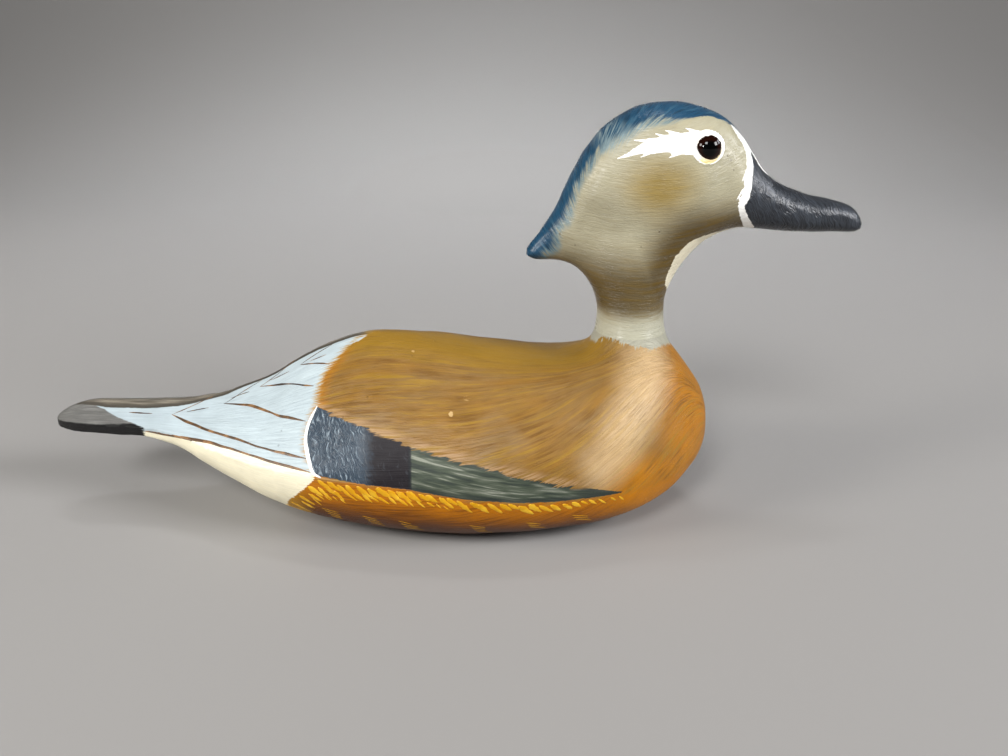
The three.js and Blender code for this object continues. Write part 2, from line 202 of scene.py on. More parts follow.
# Distance in from the head's outline, softened along the middle so that no ridge stands there.
def depthInside(x, z):
    x, z = np.broadcast_arrays(np.asarray(x, float), np.asarray(z, float))
    nearest = np.full(x.shape, np.inf)
    inside = np.zeros(x.shape, bool)
    total = np.zeros(x.shape)
    for start, end in zip(outline[:-1], outline[1:]):
        dx, dz = end - start
        length = math.hypot(dx, dz)
        px = x - start[0]
        pz = z - start[1]
        t = np.clip((px * dx + pz * dz) / length**2, 0, 1)
        nearest = np.minimum(nearest, (px - t * dx) ** 2 + (pz - t * dz) ** 2)
        inside ^= ((start[1] > z) != (end[1] > z)) & (px < pz / (dz or tiny) * dx)
        mx = dx / 2 - px
        mz = dz / 2 - pz
        total += (mz * dx - mx * dz) / (mx * mx + mz * mz) ** 4
    nearest = np.sqrt(nearest)
    soft = (headShape["softShare"] / np.maximum(total, tiny**2)) ** (1 / 6)
    settle = np.clip(nearest / headShape["softFrom"] - 1, 0, 1)
    settle = settle * settle * (3 - 2 * settle)
    return np.where(inside, nearest + (np.minimum(soft, nearest) - nearest) * settle, -nearest)


headPlaces = np.array(headShape["widths"], float)
headRounds = headShape["roundShare"] * depthInside(headPlaces[:, 0], headPlaces[:, 1])


def headForm(x, y, z):
    total = half = reach = 0
    for (placeX, placeZ, width), rounding in zip(headPlaces, headRounds):
        weight = 1 / ((x - placeX) ** 2 + (z - placeZ) ** 2 + headShape["widthReach"] ** 2) ** 2
        total = total + weight
        half = half + weight * width
        reach = reach + weight * rounding
    edge = 1 - np.minimum(depthInside(x, z) * total / reach, 1)
    return 1 - (y * total / half) ** 2 - edge * edge


# A form divided by its slope is close to a distance in millimetres.
def asDistance(form, x, y, z):
    probe = 0.05
    value = form(x, y, z)
    slope = [form(x + probe, y, z), form(x, y + probe, z), form(x, y, z + probe)]
    slope = [part - value for part in slope]
    length = np.maximum(np.sqrt(sum(part**2 for part in slope)) / probe, tiny)
    return value / length, [part / probe / length for part in slope]


# How far a point near the neck belongs to the head, from 0 to 1, and the two forms run together.
def neckBlend(body, head):
    return np.clip(0.5 + (head - body) / (2 * bodyShape["fillet"]), 0, 1)


def joined(body, head, headPart):
    return body + (head - body) * headPart + bodyShape["fillet"] * headPart * (1 - headPart)


# How deep points are in the wood, and which way is inward.
def duckDepth(points):
    x, y, z = points.T
    value, slope = asDistance(bodyForm, x, y, z)
    slope = np.stack(slope, axis=1)
    near = (z >= bodyShape["neckFrom"]) & (x >= bodyShape["neckBack"])
    if near.any():
        head, headSlope = asDistance(headForm, x[near], y[near], z[near])
        headPart = neckBlend(value[near], head)
        value[near] = joined(value[near], head, headPart)
        slope[near] += (np.stack(headSlope, axis=1) - slope[near]) * headPart[:, None]
    return value, slope


# The same depth at every point of a grid.
def duckOnGrid(x, y, z):
    i = np.searchsorted(x, bodyShape["neckBack"])
    k = np.searchsorted(z, bodyShape["neckFrom"])
    value, _ = asDistance(bodyForm, x[:, None, None], y[None, :, None], z[None, None, :])
    if i < len(x) and k < len(z):
        head, _ = asDistance(headForm, x[i:, None, None], y[None, :, None], z[None, None, k:])
        body = value[i:, :, k:]
        value[i:, :, k:] = joined(body, head, neckBlend(body, head))
    return value


def outward(points):
    _, slope = duckDepth(points)
    return -slope / np.maximum(np.linalg.norm(slope, axis=1, keepdims=True), tiny)


# Moves points onto the surface.
def settleOn(points, passes=3):
    points = np.array(points, float)
    for _ in range(passes):
        depth, slope = duckDepth(points)
        points -= slope * (depth / np.maximum((slope**2).sum(axis=1), tiny))[:, None]
    return points


# The knife and the brush leave the surface a little uneven: waves of three sizes, in millimetres.
unevenness = {"seed": 41, "waves": [(38, 0.16), (15, 0.07), (6, 0.018)], "perSize": 14,
              "sizeRange": (0.7, 1.4)}


def makeWaves():
    rng = np.random.default_rng(unevenness["seed"])
    waves = []
    for size, depth in unevenness["waves"]:
        for _ in range(unevenness["perSize"]):
            direction = rng.normal(size=3)
            direction /= np.linalg.norm(direction)
            number = direction * 2 * math.pi / (size * rng.uniform(*unevenness["sizeRange"]))
            phase = rng.uniform(0, 2 * math.pi)
            waves.append((number, phase, depth * math.sqrt(2 / unevenness["perSize"])))
    return waves


waves = makeWaves()
eyeBead = {"radius": 5.7, "width": 0.75, "height": 0.28}  # paint and putty raised round the glass


# How high the unevenness stands at points, and how it slopes.
def relief(points):
    height = np.zeros(len(points))
    slope = np.zeros((len(points), 3))
    for number, phase, depth in waves:
        turn = points @ number + phase
        height += depth * np.cos(turn)
        slope -= (depth * np.sin(turn))[:, None] * number
    away = np.hypot(points[:, 0] - eyeCentre[0], points[:, 2] - eyeCentre[2])
    off = (away - eyeBead["radius"]) / eyeBead["width"]
    bead = eyeBead["height"] * np.exp(-off * off)
    height += bead
    lean = -2 * bead * off / eyeBead["width"] / np.maximum(away, tiny)
    slope[:, 0] += lean * (points[:, 0] - eyeCentre[0])
    slope[:, 2] += lean * (points[:, 2] - eyeCentre[2])
    return height, slope


# Points on the uneven surface, and which way it faces there.
def onWood(points):
    normal = outward(points)
    height, slope = relief(points)
    across = slope - (slope * normal).sum(axis=1, keepdims=True) * normal
    tilted = normal - across
    tilted /= np.linalg.norm(tilted, axis=1, keepdims=True)
    return points + normal * height[:, None], tilted


# Wraps a form in a net: one corner in each cell that the surface crosses, and one four-sided
# facet around each cell edge that it crosses.
def wrapGrid(axes, value):
    cells = [len(axis) - 1 for axis in axes]
    total = np.zeros(cells + [3])
    crossed = np.zeros(cells)
    crossings = []
    for axis in range(3):
        u, v = (axis + 1) % 3, (axis + 2) % 3
        start = np.delete(value, -1, axis)
        end = np.delete(value, 0, axis)
        cross = (start > 0) != (end > 0)
        share = np.divide(start, start - end, out=np.zeros_like(start), where=cross)
        crossings.append((cross, start > 0))
        for a, b in ((0, 0), (1, 0), (0, 1), (1, 1)):
            cut = [slice(None)] * 3
            cut[u] = slice(a, a + cells[u])
            cut[v] = slice(b, b + cells[v])
            hit = cross[tuple(cut)]
            crossed += hit
            total[..., axis] += share[tuple(cut)]
            total[..., u] += a * hit
            total[..., v] += b * hit
    mixed = crossed > 0
    index = np.full(cells, -1)
    index[mixed] = np.arange(mixed.sum())
    step = axes[0][1] - axes[0][0]
    low = np.array([axis[0] for axis in axes])
    corners = (total[mixed] / crossed[mixed][:, None] + np.argwhere(mixed)) * step + low
    facets = []
    for axis, (cross, starts) in enumerate(crossings):
        u, v = (axis + 1) % 3, (axis + 2) % 3
        at = np.argwhere(cross)
        at = at[(at[:, u] > 0) & (at[:, u] < cells[u]) & (at[:, v] > 0) & (at[:, v] < cells[v])]
        stepU = np.eye(3, dtype=int)[u]
        stepV = np.eye(3, dtype=int)[v]
        ring = np.stack(
            [index[tuple((at - back).T)] for back in (stepU + stepV, stepV, 0 * stepU, stepU)], axis=1
        )
        outside = ~starts[tuple(at.T)]
        ring[outside] = ring[outside][:, ::-1]
        facets.append(ring)
    return corners, np.concatenate(facets)


def gridAxes(low, high, step):
    # the middle plane runs through cells, so that corners of the net lie on the ridge
    halfCells = math.ceil(high[1] / step) + 0.5
    across = (np.arange(2 * halfCells + 1) - halfCells) * step
    along = np.arange(low[0], high[0] + step, step)
    up = np.arange(low[2], high[2] + step, step)
    return along, across, up


# A block carved to the form between two corners, and sawn off flat at each cut.
def carveBlock(name, low, high, step, cuts):
    axes = gridAxes(low, high, step * (1))
    corners, facets = wrapGrid(axes, duckOnGrid(*axes))
    corners = settleOn(corners, 2)
    corners, normals = onWood(corners)
    mesh = bpy.data.meshes.new(name)
    mesh.from_pydata(corners * mm, [], facets.tolist())
    work = bmesh.new()
    work.from_mesh(mesh)
    for height, up in cuts:
        rim = bmesh.ops.bisect_plane(
            work, geom=work.verts[:] + work.edges[:] + work.faces[:], plane_co=(0, 0, height * mm),
            plane_no=(0, 0, up), clear_outer=True, dist=1e-7,
        )["geom_cut"]
        edges = [part for part in rim if isinstance(part, bmesh.types.BMEdge)]
        bmesh.ops.edgeloop_fill(work, edges=edges)
    work.to_mesh(mesh)
    work.free()
    print(name, len(mesh.vertices), "corners")
    return mesh


def meshPoints(mesh):
    points = np.empty(len(mesh.vertices) * 3)
    mesh.vertices.foreach_get("co", points)
    return points.reshape(-1, 3) / mm


# Shades each facet by the form's own slope, and the sawn faces flat.
def shadeSmooth(mesh, points):
    _, normals = onWood(points)
    corners = np.empty(len(mesh.loops), int)
    mesh.loops.foreach_get("vertex_index", corners)
    loopNormals = normals[corners]
    mesh.shade_smooth()
    for face in mesh.polygons:
        if face.loop_total > 4:
            flat = range(face.loop_start, face.loop_start + face.loop_total)
            loopNormals[flat] = face.normal
    mesh.normals_split_custom_set(loopNormals)


# Keeps one number for each corner, for the paint to read.
def carry(mesh, name, values):
    layer = mesh.attributes.new(name, "FLOAT", "POINT")
    layer.data.foreach_set("value", np.asarray(values, np.float32))


# Paint outlines: curves laid on the wood, as (x, distance from the middle, z).
def spacedPath(points, spacing, sharp=False):
    points = np.array(points, float)
    run = np.concatenate([[0], np.cumsum(np.linalg.norm(np.diff(points, axis=0), axis=1))])
    count = max(int(run[-1] / spacing), 1)
    at = np.linspace(0, run[-1], count + 1)
    if sharp:
        at = np.union1d(at, run)
        return np.stack([np.interp(at, run, points[:, axis]) for axis in range(3)], axis=1)
    return np.stack([smoothThrough(run, points[:, axis])(at) for axis in range(3)], axis=1)


def layPath(points, spacing=1.5, sharp=False):
    return settleOn(spacedPath(points, spacing, sharp), 3)


# Distance from points to a path, told up to its reach.
def distanceTo(points, path, reach=14):
    away = np.full(len(points), float(reach))
    near = ((points > path.min(0) - reach) & (points < path.max(0) + reach)).all(axis=1)
    some = points[near]
    best = np.full(len(some), float(reach) ** 2)
    for start, end in zip(path[:-1], path[1:]):
        run = end - start
        t = np.clip((some - start) @ run / max(run @ run, tiny), 0, 1)
        best = np.minimum(best, ((some - start - t[:, None] * run) ** 2).sum(axis=1))
    away[near] = np.sqrt(best)
    return away


# Which points lie inside a closed outline.
def within(x, z, corners):
    inside = np.zeros(len(x), bool)
    for (x0, z0), (x1, z1) in zip(corners, corners[1:] + corners[:1]):
        inside ^= ((z0 > z) != (z1 > z)) & (x < x0 + (z - z0) / ((z1 - z0) or tiny) * (x1 - x0))
    return inside


# Distance from a line of paint: positive inside it, negative outside. The closing leads back round
# the painted side, clear of the wood.
def sided(points, line, closing=(), sharp=False, reach=14):
    path = layPath(line, 1.2, sharp)
    corners = [(x, z) for x, _, z in path] + list(closing)
    inside = within(points[:, 0], points[:, 2], corners)
    return np.where(inside, 1, -1) * distanceTo(points, path, reach)


headPaint = {
    "eyeStreak": {"sharp": True, "line": [  # white behind the eye, drawn out in points
        (107.2, 15.1, 167.3), (101.3, 15.8, 168.5), (97.6, 15.9, 169.0), (98, 16.5, 168),
        (93.8, 17, 167.4), (89.5, 16.4, 168.2), (90.4, 17.1, 167.1), (88.2, 17, 166.8),
        (85.8, 16.6, 167.1), (86.6, 17.2, 166.1), (82.9, 16.8, 165.5), (78.2, 16.1, 164.7),
        (81.4, 16.9, 164.5), (77.7, 16.8, 162.3), (72, 16.2, 158.5), (80.5, 18, 160.4),
        (80.5, 18.3, 159.2), (83.3, 18.6, 160.1), (90.3, 19.6, 160.8), (91.4, 20, 159.3),
        (93.8, 20, 160), (98.9, 20.1, 159.9), (103, 19.8, 158.5), (107.2, 15.1, 167.3),
    ]},
    "eyeRing": {"radius": 6.8, "flatten": 1.1, "lift": 0.3},
    "crown": {"closing": [(20, 110), (20, 200), (124, 200)], "line": [
        (123.2, 0, 163.3), (122.2, 2.2, 164.4), (120.2, 3.9, 166.4), (117.3, 5.2, 169.3),
        (110.6, 8.5, 172.1), (107.1, 9.1, 173.1), (100.8, 11.7, 173), (95.8, 13.3, 172.3), (92.8, 14, 171.6),
        (86.6, 13.6, 171.6), (81.5, 13.6, 170.3), (77.8, 13.7, 168.5), (74.5, 14, 166.3), (68, 12.5, 162.8),
        (63.7, 11.1, 159.6), (61.9, 11.4, 156.4), (59.5, 11.2, 151.9), (57.1, 10.2, 147.9),
        (55.3, 9.6, 142.6), (54.1, 9.3, 138.6), (52.3, 9.2, 131.9), (49.4, 7.5, 129.6),
        (48.9, 7.3, 124.8), (48.3, 6.1, 120.4), (46.1, 4.8, 118.3), (43.4, 2.9, 116.2), (42.5, 0, 115.2),
    ]},
    "billLine": {"closing": [(190, 128), (190, 190), (116, 190)], "line": [  # rear edge of the white
        (116.1, 7, 169.4), (118.1, 8.9, 166.1), (120.4, 9.3, 162.9), (121.9, 10.4, 159.4),
        (121.9, 12.9, 155), (121.6, 14.3, 151.5), (120.4, 15, 150.0), (121.1, 15.2, 147.9),
        (120.2, 15.5, 143.7), (119.3, 15.7, 142.8), (119.7, 14.9, 138.6), (122.3, 11.3, 133.4),
        (125.9, 3.9, 129.1), (126.4, 0, 128.5),
    ]},
    "bill": {"closing": [(190, 120), (190, 190), (134, 190)], "sharp": True, "line": [
        (134.4, 0, 149.8), (133.7, 2, 150.1), (132.3, 3.8, 150.7), (130.5, 4.9, 152),
        (128.8, 5.3, 153.9), (127.2, 5.2, 156.4), (124.4, 6.1, 159.8), (125, 10.4, 154.7),
        (124.8, 12.1, 152.1), (124.3, 14, 147.7), (123.6, 14.8, 142.7), (121.9, 14.7, 139.3),
        (124.6, 12.2, 135), (129.1, 6.8, 130.1), (131, 0, 128.2),
    ]},
    "throat": {"closing": [(150, 95), (150, 129.3)], "reach": 26, "line": [
        (126, 5, 129.3), (122.7, 5.3, 129.5), (114.6, 8.3, 128.4), (109.3, 11, 127.6), (102.3, 13.5, 125.4),
        (96.7, 13.3, 119.2), (94.7, 12.2, 113.5), (93.4, 10.4, 107.6), (94.5, 7, 104.2), (96.2, 0, 102.3),
    ]},
    "cheek": {"centre": (88, 20.2, 147.4), "stretch": (1, 1, 1.25)},
    "strokesTurn": (82, 235),  # the bristles swept round a point above the head
    "crownStrokes": {"centre": (95, 138), "radius": 40, "lean": 0.4},  # and out from one in the cheek
    "billStrokes": (0.87, 0.5),  # which way is across them
}


def paintHead(mesh, points):
    x, y, z = points.T
    mirrored = np.stack([x, np.abs(y), z], axis=1)
    streak = sided(mirrored, **headPaint["eyeStreak"])
    ring = headPaint["eyeRing"]
    ringAway = np.hypot(x - eyeCentre[0], (z - eyeCentre[2] - ring["lift"]) * ring["flatten"])
    carry(mesh, "eyePatch", np.maximum(streak, ring["radius"] - ringAway))
    carry(mesh, "eyeAway", np.hypot(x - eyeCentre[0], z - eyeCentre[2]))
    for name in ("crown", "billLine", "bill", "throat"):
        carry(mesh, name, sided(mirrored, **headPaint[name]))
    cheek = headPaint["cheek"]
    carry(mesh, "cheek", np.linalg.norm((mirrored - cheek["centre"]) * cheek["stretch"], axis=1))
    turnX, turnZ = headPaint["strokesTurn"]
    carry(mesh, "across", np.hypot(x - turnX, z - turnZ))
    crown = headPaint["crownStrokes"]
    turnX, turnZ = crown["centre"]
    around = np.arctan2(x - turnX, z - turnZ)
    outwards = np.log(np.hypot(x - turnX, z - turnZ) / crown["radius"])
    carry(mesh, "crownAcross", crown["radius"] * (outwards - crown["lean"] * around))
    shareX, shareZ = headPaint["billStrokes"]
    carry(mesh, "billAcross", shareX * x + shareZ * z)


wingUnder = [  # lower edge of the wing patch, from the rear forward
    (-28.7, 52.3, 35.8), (-10.6, 55.1, 34.9), (7.3, 57, 32.2), (21.7, 56.9, 30.4), (44, 53.7, 28.4),
    (58.9, 50, 28), (77.5, 43.1, 27.3),
]
bodyPaint = {
    "warm": [  # rear edge of the golden brown, down over the wing bar and under the flank
        (-31, 0, 83), (-32.5, 1.7, 82.1), (-40.3, 8.1, 78.6), (-48.5, 17.3, 70.5), (-51, 25.5, 63.7),
        (-50.6, 29.7, 60.5), (-53.5, 36.9, 52.1), (-52.9, 42.3, 45.9), (-50.1, 47.3, 38.9),
        (-49.3, 48, 36.5), (-50.7, 47.6, 34.4), (-57, 44.2, 28), (-63.1, 40.1, 21.4), (-66, 30, 12),
        (-68, 0, 8),
    ],
    "wing": {"sharp": True, "line": [
        (-50.3, 30.4, 60), (-49.6, 30.9, 60), (-29.5, 42, 56.5), (-10.5, 49.5, 51.8), (16.2, 55, 46),
        (38.3, 54.9, 39.7), (61.1, 49.9, 32.7), *wingUnder[::-1], (-47.2, 48.4, 37.6),
        (-50.1, 47.3, 38.9), (-52.9, 42.3, 45.9), (-53.5, 36.9, 52.1), (-50.3, 30.4, 60),
    ]},
    "flank": [  # the under edge of the wing, carried on round the breast
        (-49, 48, 37), *wingUnder, (95, 31, 26), (110, 14, 25), (115, 0, 25),
    ],
    "chine": [  # where the pale rump ends over the cream
        (-134, 15.6, 42.6), (-128.2, 16.8, 42.3), (-121.9, 18.3, 42), (-115.4, 20.4, 41.9),
        (-108.7, 22.8, 42), (-96, 27.6, 41.8), (-79, 35.9, 40.8), (-68.7, 40.8, 40), (-51.1, 47.2, 38.3),
    ],
    "neckPaint": [  # grey foot of the neck, where it runs out on the body
        (64.5, 0, 79), (65.8, 5.8, 79.6), (71.4, 11.9, 83.4), (76.1, 15.6, 81.9), (82, 16.7, 80.9),
        (88.6, 16.1, 79.2), (95.7, 9.7, 79.5), (99, 4, 78), (100, 0, 77.2),
    ],
    "tailDark": [  # (distance from the middle, where the charcoal ends)
        (0, -158), (5.2, -154), (5.8, -150.9), (10.6, -143.2), (13.2, -137.3), (14.7, -133.4),
        (16.3, -129.5),
    ],
    "sheen": [  # the paler band down the breast, a painted sheen where the light glances off it
        (88.1, 18.2, 76.1), (85.4, 24.9, 69.7), (82.6, 31.8, 63.6), (78.8, 38.9, 55.6), (73.7, 43.5, 48.8),
        (67.9, 47.2, 41.7),
    ],
    "spine": [  # (place, half width of the dark stripe along the ridge)
        (-167, -1), (-164, 1.6), (-157.7, 3.6), (-150, 5.3), (-134, 5.9), (-118, 5.2), (-105, 3.6),
        (-93, 2.3), (-80, 1.7), (-60, 2.2), (-45, 2.8), (-34, 2.8),
    ],
    "tailUnder": 0.4,  # how the charcoal's end slants underneath
    "tailSlope": 0.75,
    "edgeLift": ((-174, -150, -130), (0, 0.1, 1.2)),  # (places, how far above the edge the black goes)
    "strokes": {"round": 50, "bendFrom": -70, "bendOver": 170, "bendMost": 1.1, "bend": 66,
                "easeFrom": 6, "easeOver": 30},  # they bend up towards the breast, less near the ridge
    "offRidge": -9.0,
    "neckFoot": 70,  # the grey stays above this height
    "reach": {"flank": 30, "sheen": 20},  # how far off these two the distance is told
}


def paintBody(mesh, points):
    x, y, z = points.T
    half = np.abs(y)
    mirrored = np.stack([x, half, z], axis=1)
    wide = section["wide"](x)
    above = z > wide

    def carryEdge(name, inside):
        away = distanceTo(mirrored, layPath(bodyPaint[name]), reach.get(name, 14))
        carry(mesh, name, np.where(inside, away, -away))

    reach = bodyPaint["reach"]
    rear, under, chine, dark, stripe = (
        np.array(bodyPaint[name], float).T for name in ("warm", "flank", "chine", "tailDark", "spine")
    )
    carryEdge("warm", x > np.interp(z, rear[2][::-1], rear[0][::-1]))
    carryEdge("flank", z < np.interp(x, under[0], under[2]))
    carryEdge("chine", z > np.interp(x, chine[0], chine[2]))
    ring = [(a, b) for a, b, _ in bodyPaint["neckPaint"]]
    carryEdge("neckPaint", within(x, half, ring) & (z > bodyPaint["neckFoot"]))
    carry(mesh, "wing", sided(mirrored, **bodyPaint["wing"]))
    carry(mesh, "sheen", distanceTo(mirrored, layPath(bodyPaint["sheen"], 3), reach["sheen"]))
    # charcoal tail, with a black blunt edge
    beneath = dark[1][-1] - bodyPaint["tailUnder"] * np.maximum(dark[0][-1] - half, 0)
    ends = np.where(above, np.interp(half, dark[0], dark[1]), beneath)
    carry(mesh, "tailDark", (ends - x) * bodyPaint["tailSlope"])
    lift = np.interp(x, *bodyPaint["edgeLift"])
    carry(mesh, "bluntEdge", wide + section["edge"](x) / 2 + lift - z)
    carry(mesh, "spine", np.where(above, np.interp(x, stripe[0], stripe[1]) - half, bodyPaint["offRidge"]))
    # how far down from the ridge a point lies round the body, and the strokes bent up from that
    strokes = bodyPaint["strokes"]
    ratio = section["half"](x) / np.maximum(np.where(above, section["rise"](x), section["drop"](x)), 1)
    turn = np.arctan2((z - wide) * np.sqrt(np.maximum(ratio, tiny)), np.maximum(half, tiny))
    down = (math.pi / 2 - turn) * strokes["round"]
    along = np.clip((x - strokes["bendFrom"]) / strokes["bendOver"], 0, strokes["bendMost"])
    ease = np.clip((down - strokes["easeFrom"]) / strokes["easeOver"], 0, 1)
    carry(mesh, "across", down + along**3 * strokes["bend"] * ease * ease * (3 - 2 * ease))
    carry(mesh, "down", down)


# Strokes of thick paint: flat ribbons laid on the wood, with their edges just under its surface.
strokeShape = {
    "section": [  # (share of the half width, height above the wood)
        (-1, -0.12), (-0.6, 0.05), (0, 0.07), (0.6, 0.05), (1, -0.12), (0, -0.3),
    ],
    "bluntest": 0.06,  # what is left of the width at the very ends, squared
    "knots": 9,  # where along a stroke its width wobbles
}


def ribbon(path, width, rng, wobble, taper):
    count = len(path)
    at = np.linspace(0, 1, count)
    body = np.minimum(np.minimum(at / max(taper[0], tiny), (1 - at) / max(taper[1], tiny)), 1)
    body = np.sqrt(np.maximum(body, strokeShape["bluntest"]))
    knots = strokeShape["knots"]
    uneven = 1 + wobble * np.interp(at, np.linspace(0, 1, knots), rng.uniform(-1, 1, knots))
    half = width / 2 * body * uneven
    path = settleOn(path, 2)
    normal = outward(path)
    run = np.gradient(path, axis=0)
    side = np.cross(normal, run)
    side /= np.maximum(np.linalg.norm(side, axis=1, keepdims=True), tiny)
    shape = np.array(strokeShape["section"])
    ring = len(shape)
    shares = (half[:, None] * shape[:, 0]).ravel()[:, None]
    laid = np.repeat(path, ring, axis=0) + np.repeat(side, ring, axis=0) * shares
    laid, lean = onWood(settleOn(laid, 2))
    corners = laid + lean * np.tile(shape[:, 1], count)[:, None]
    facets = []
    for i in range(count - 1):
        for j in range(ring):
            k = (j + 1) % ring
            facets.append([i * ring + j, i * ring + k, (i + 1) * ring + k, (i + 1) * ring + j])
    facets.append(list(range(ring))[::-1])
    facets.append([(count - 1) * ring + j for j in range(ring)])
    return corners, facets


# Lets a path wander a little off its line, as a brush does.
def wander(path, amount, rng):
    at = np.linspace(0, 1, len(path))
    knots = np.linspace(0, 1, max(len(path) // 6, 2) + 1)
    shift = [smoothThrough(knots, rng.uniform(-amount, amount, len(knots)))(at) for _ in range(3)]
    return path + np.stack(shift, axis=1)


# Puts a mesh into the scene as a piece of the decoy.
def newPiece(name, mesh, material, replaced=()):
    mesh.materials.append(material)
    piece = bpy.data.objects.new(name, mesh)
    bpy.context.scene.collection.objects.link(piece)
    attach(piece, "root")
    if replaced:
        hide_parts(*replaced)


# All the strokes of one colour in one piece, each with its own tone.
def strokePiece(name, strokes, material):
    corners = []
    facets = []
    tones = []
    start = 0
    for (points, faces), tone in strokes:
        corners.append(points)
        facets += [[start + corner for corner in face] for face in faces]
        tones.append(np.full(len(points), tone))
        start += len(points)
    corners = np.concatenate(corners)
    mesh = bpy.data.meshes.new(name)
    mesh.from_pydata(corners * mm, [], facets)
    work = bmesh.new()
    work.from_mesh(mesh)
    bmesh.ops.recalc_face_normals(work, faces=work.faces[:])
    work.to_mesh(mesh)
    work.free()
    mesh.shade_smooth()
    carry(mesh, "tone", np.concatenate(tones))
    newPiece(name, mesh, material)
    print(name, len(strokes), "strokes")


# Shader building. A node goes into the tree that its first socket comes from.
def linear(code):
    parts = [int(code[i : i + 2], 16) / 255 for i in (1, 3, 5)]
    return tuple(c / 12.92 if c <= 0.04045 else ((c + 0.055) / 1.055) ** 2.4 for c in parts) + (1,)


def isSocket(value):
    return isinstance(value, bpy.types.NodeSocket)


def add(tree, kind, sockets, **settings):
    made = tree.nodes.new("ShaderNode" + kind)
    for name, value in settings.items():
        setattr(made, name, value)
    for key, value in sockets.items():
        if isSocket(value):
            tree.links.new(value, made.inputs[key])
        else:
            made.inputs[key].default_value = linear(value) if isinstance(value, str) else value
    return made.outputs


def addTo(kind, sockets, **settings):
    tree = next(value.id_data for value in sockets.values() if isSocket(value))
    return add(tree, kind, sockets, **settings)


def calc(operation, *values, clamp=False):
    return addTo("Math", dict(enumerate(values)), operation=operation, use_clamp=clamp)[0]


def times(first, *others):
    for other in others:
        first = calc("MULTIPLY", first, other)
    return first


def plus(a, b, clamp=False):
    return calc("ADD", a, b, clamp=clamp)


def timesPlus(a, b, c):
    return calc("MULTIPLY_ADD", a, b, c)


def larger(a, b):
    return calc("MAXIMUM", a, b)


def span(value, low, high, toLow=0.0, toHigh=1.0, kind="SMOOTHSTEP"):
    sockets = {"Value": value, "From Min": low, "From Max": high, "To Min": toLow, "To Max": toHigh}
    return addTo("MapRange", sockets, interpolation_type=kind)[0]


def blend(factor, a, b):
    return addTo("Mix", {0: factor, 6: a, 7: b}, data_type="RGBA")[2]


def between(factor, a, b):
    return addTo("Mix", {0: factor, 2: a, 3: b}, data_type="FLOAT")[0]


def scaled(vector, factor):
    return addTo("VectorMath", {0: vector, 3: factor}, operation="SCALE")[0]


def apart(a, b):
    return addTo("VectorMath", {0: a, 1: b}, operation="DISTANCE")["Value"]


def noiseIn(place, scale, detail):
    return addTo("TexNoise", {"Vector": place, "Scale": scale, "Detail": detail})[0]


def reading(tree, name):
    return add(tree, "Attribute", {}, attribute_name=name)["Fac"]


def placeIn(tree):
    return scaled(add(tree, "TexCoord", {})["Object"], 1 / mm)


def newGroup(name, inputs, outputs):
    tree = bpy.data.node_groups.new(name, "ShaderNodeTree")
    for sockets, direction in ((inputs, "INPUT"), (outputs, "OUTPUT")):
        for label, kind in sockets.items():
            tree.interface.new_socket(name=label, in_out=direction, socket_type="NodeSocket" + kind)
    return tree, tree.nodes.new("NodeGroupInput").outputs, tree.nodes.new("NodeGroupOutput").inputs


# Streaks that a brush leaves: noise stretched along the stroke. Across, Width and Length in millimetres.
def makeBristleStrokes():
    inputs = {"Across": "Float", "Place": "Vector", "Width": "Float", "Length": "Float"}
    tree, given, result = newGroup("bristleStrokes", inputs, {"Value": "Float", "Grooves": "Float"})
    across = calc("DIVIDE", given["Across"], given["Width"])
    place = scaled(given["Place"], calc("DIVIDE", 1.0, given["Length"]))
    sockets = {"Vector": place, "W": across, "Scale": 1.0, "Detail": 2.0, "Roughness": 0.55}
    noise = add(tree, "TexNoise", sockets, noise_dimensions="4D")[0]
    tree.links.new(span(noise, 0.28, 0.72, kind="LINEAR"), result["Value"])
    off = calc("ABSOLUTE", calc("SUBTRACT", noise, 0.5))
    tree.links.new(span(off, 0.0, 0.05, 1.0, 0.0), result["Grooves"])
    return tree


# The edge of a coat of paint: the distance from it, frayed by strokes and softened.
def makeRaggedEdge():
    inputs = {"Distance": "Float", "Strokes": "Float", "Reach": "Float", "Softness": "Float"}
    tree, given, result = newGroup("raggedEdge", inputs, {"Mask": "Float"})
    centred = timesPlus(given["Strokes"], 2.0, -1.0)
    shifted = timesPlus(centred, given["Reach"], given["Distance"])
    tree.links.new(span(shifted, times(given["Softness"], -1.0), given["Softness"]), result["Mask"])
    return tree


# One coat of satin paint: tone and gloss vary a little, the hollows and grooves of the bristles are a
# little darker as painted shade, and specks of dust stand in it. Relief is how deep the bristles went, in
# millimetres, and Satin the roughness of the dry paint.
filmDetail = {
    "patch": 0.09, "patchTone": 0.06, "patchGloss": 0.04,  # scale of the noise, then what it changes
    "grooveShade": -0.05, "grooveDepth": -0.05, "strokeGloss": 0.06,
    "speck": 0.11, "speckSize": (0.025, 0.065), "speckChance": 0.6, "speckTone": 0.3, "speckHeight": 0.2,
    "speckColor": "#2c261c", "grain": 1.1, "grainHeight": 0.05,
}


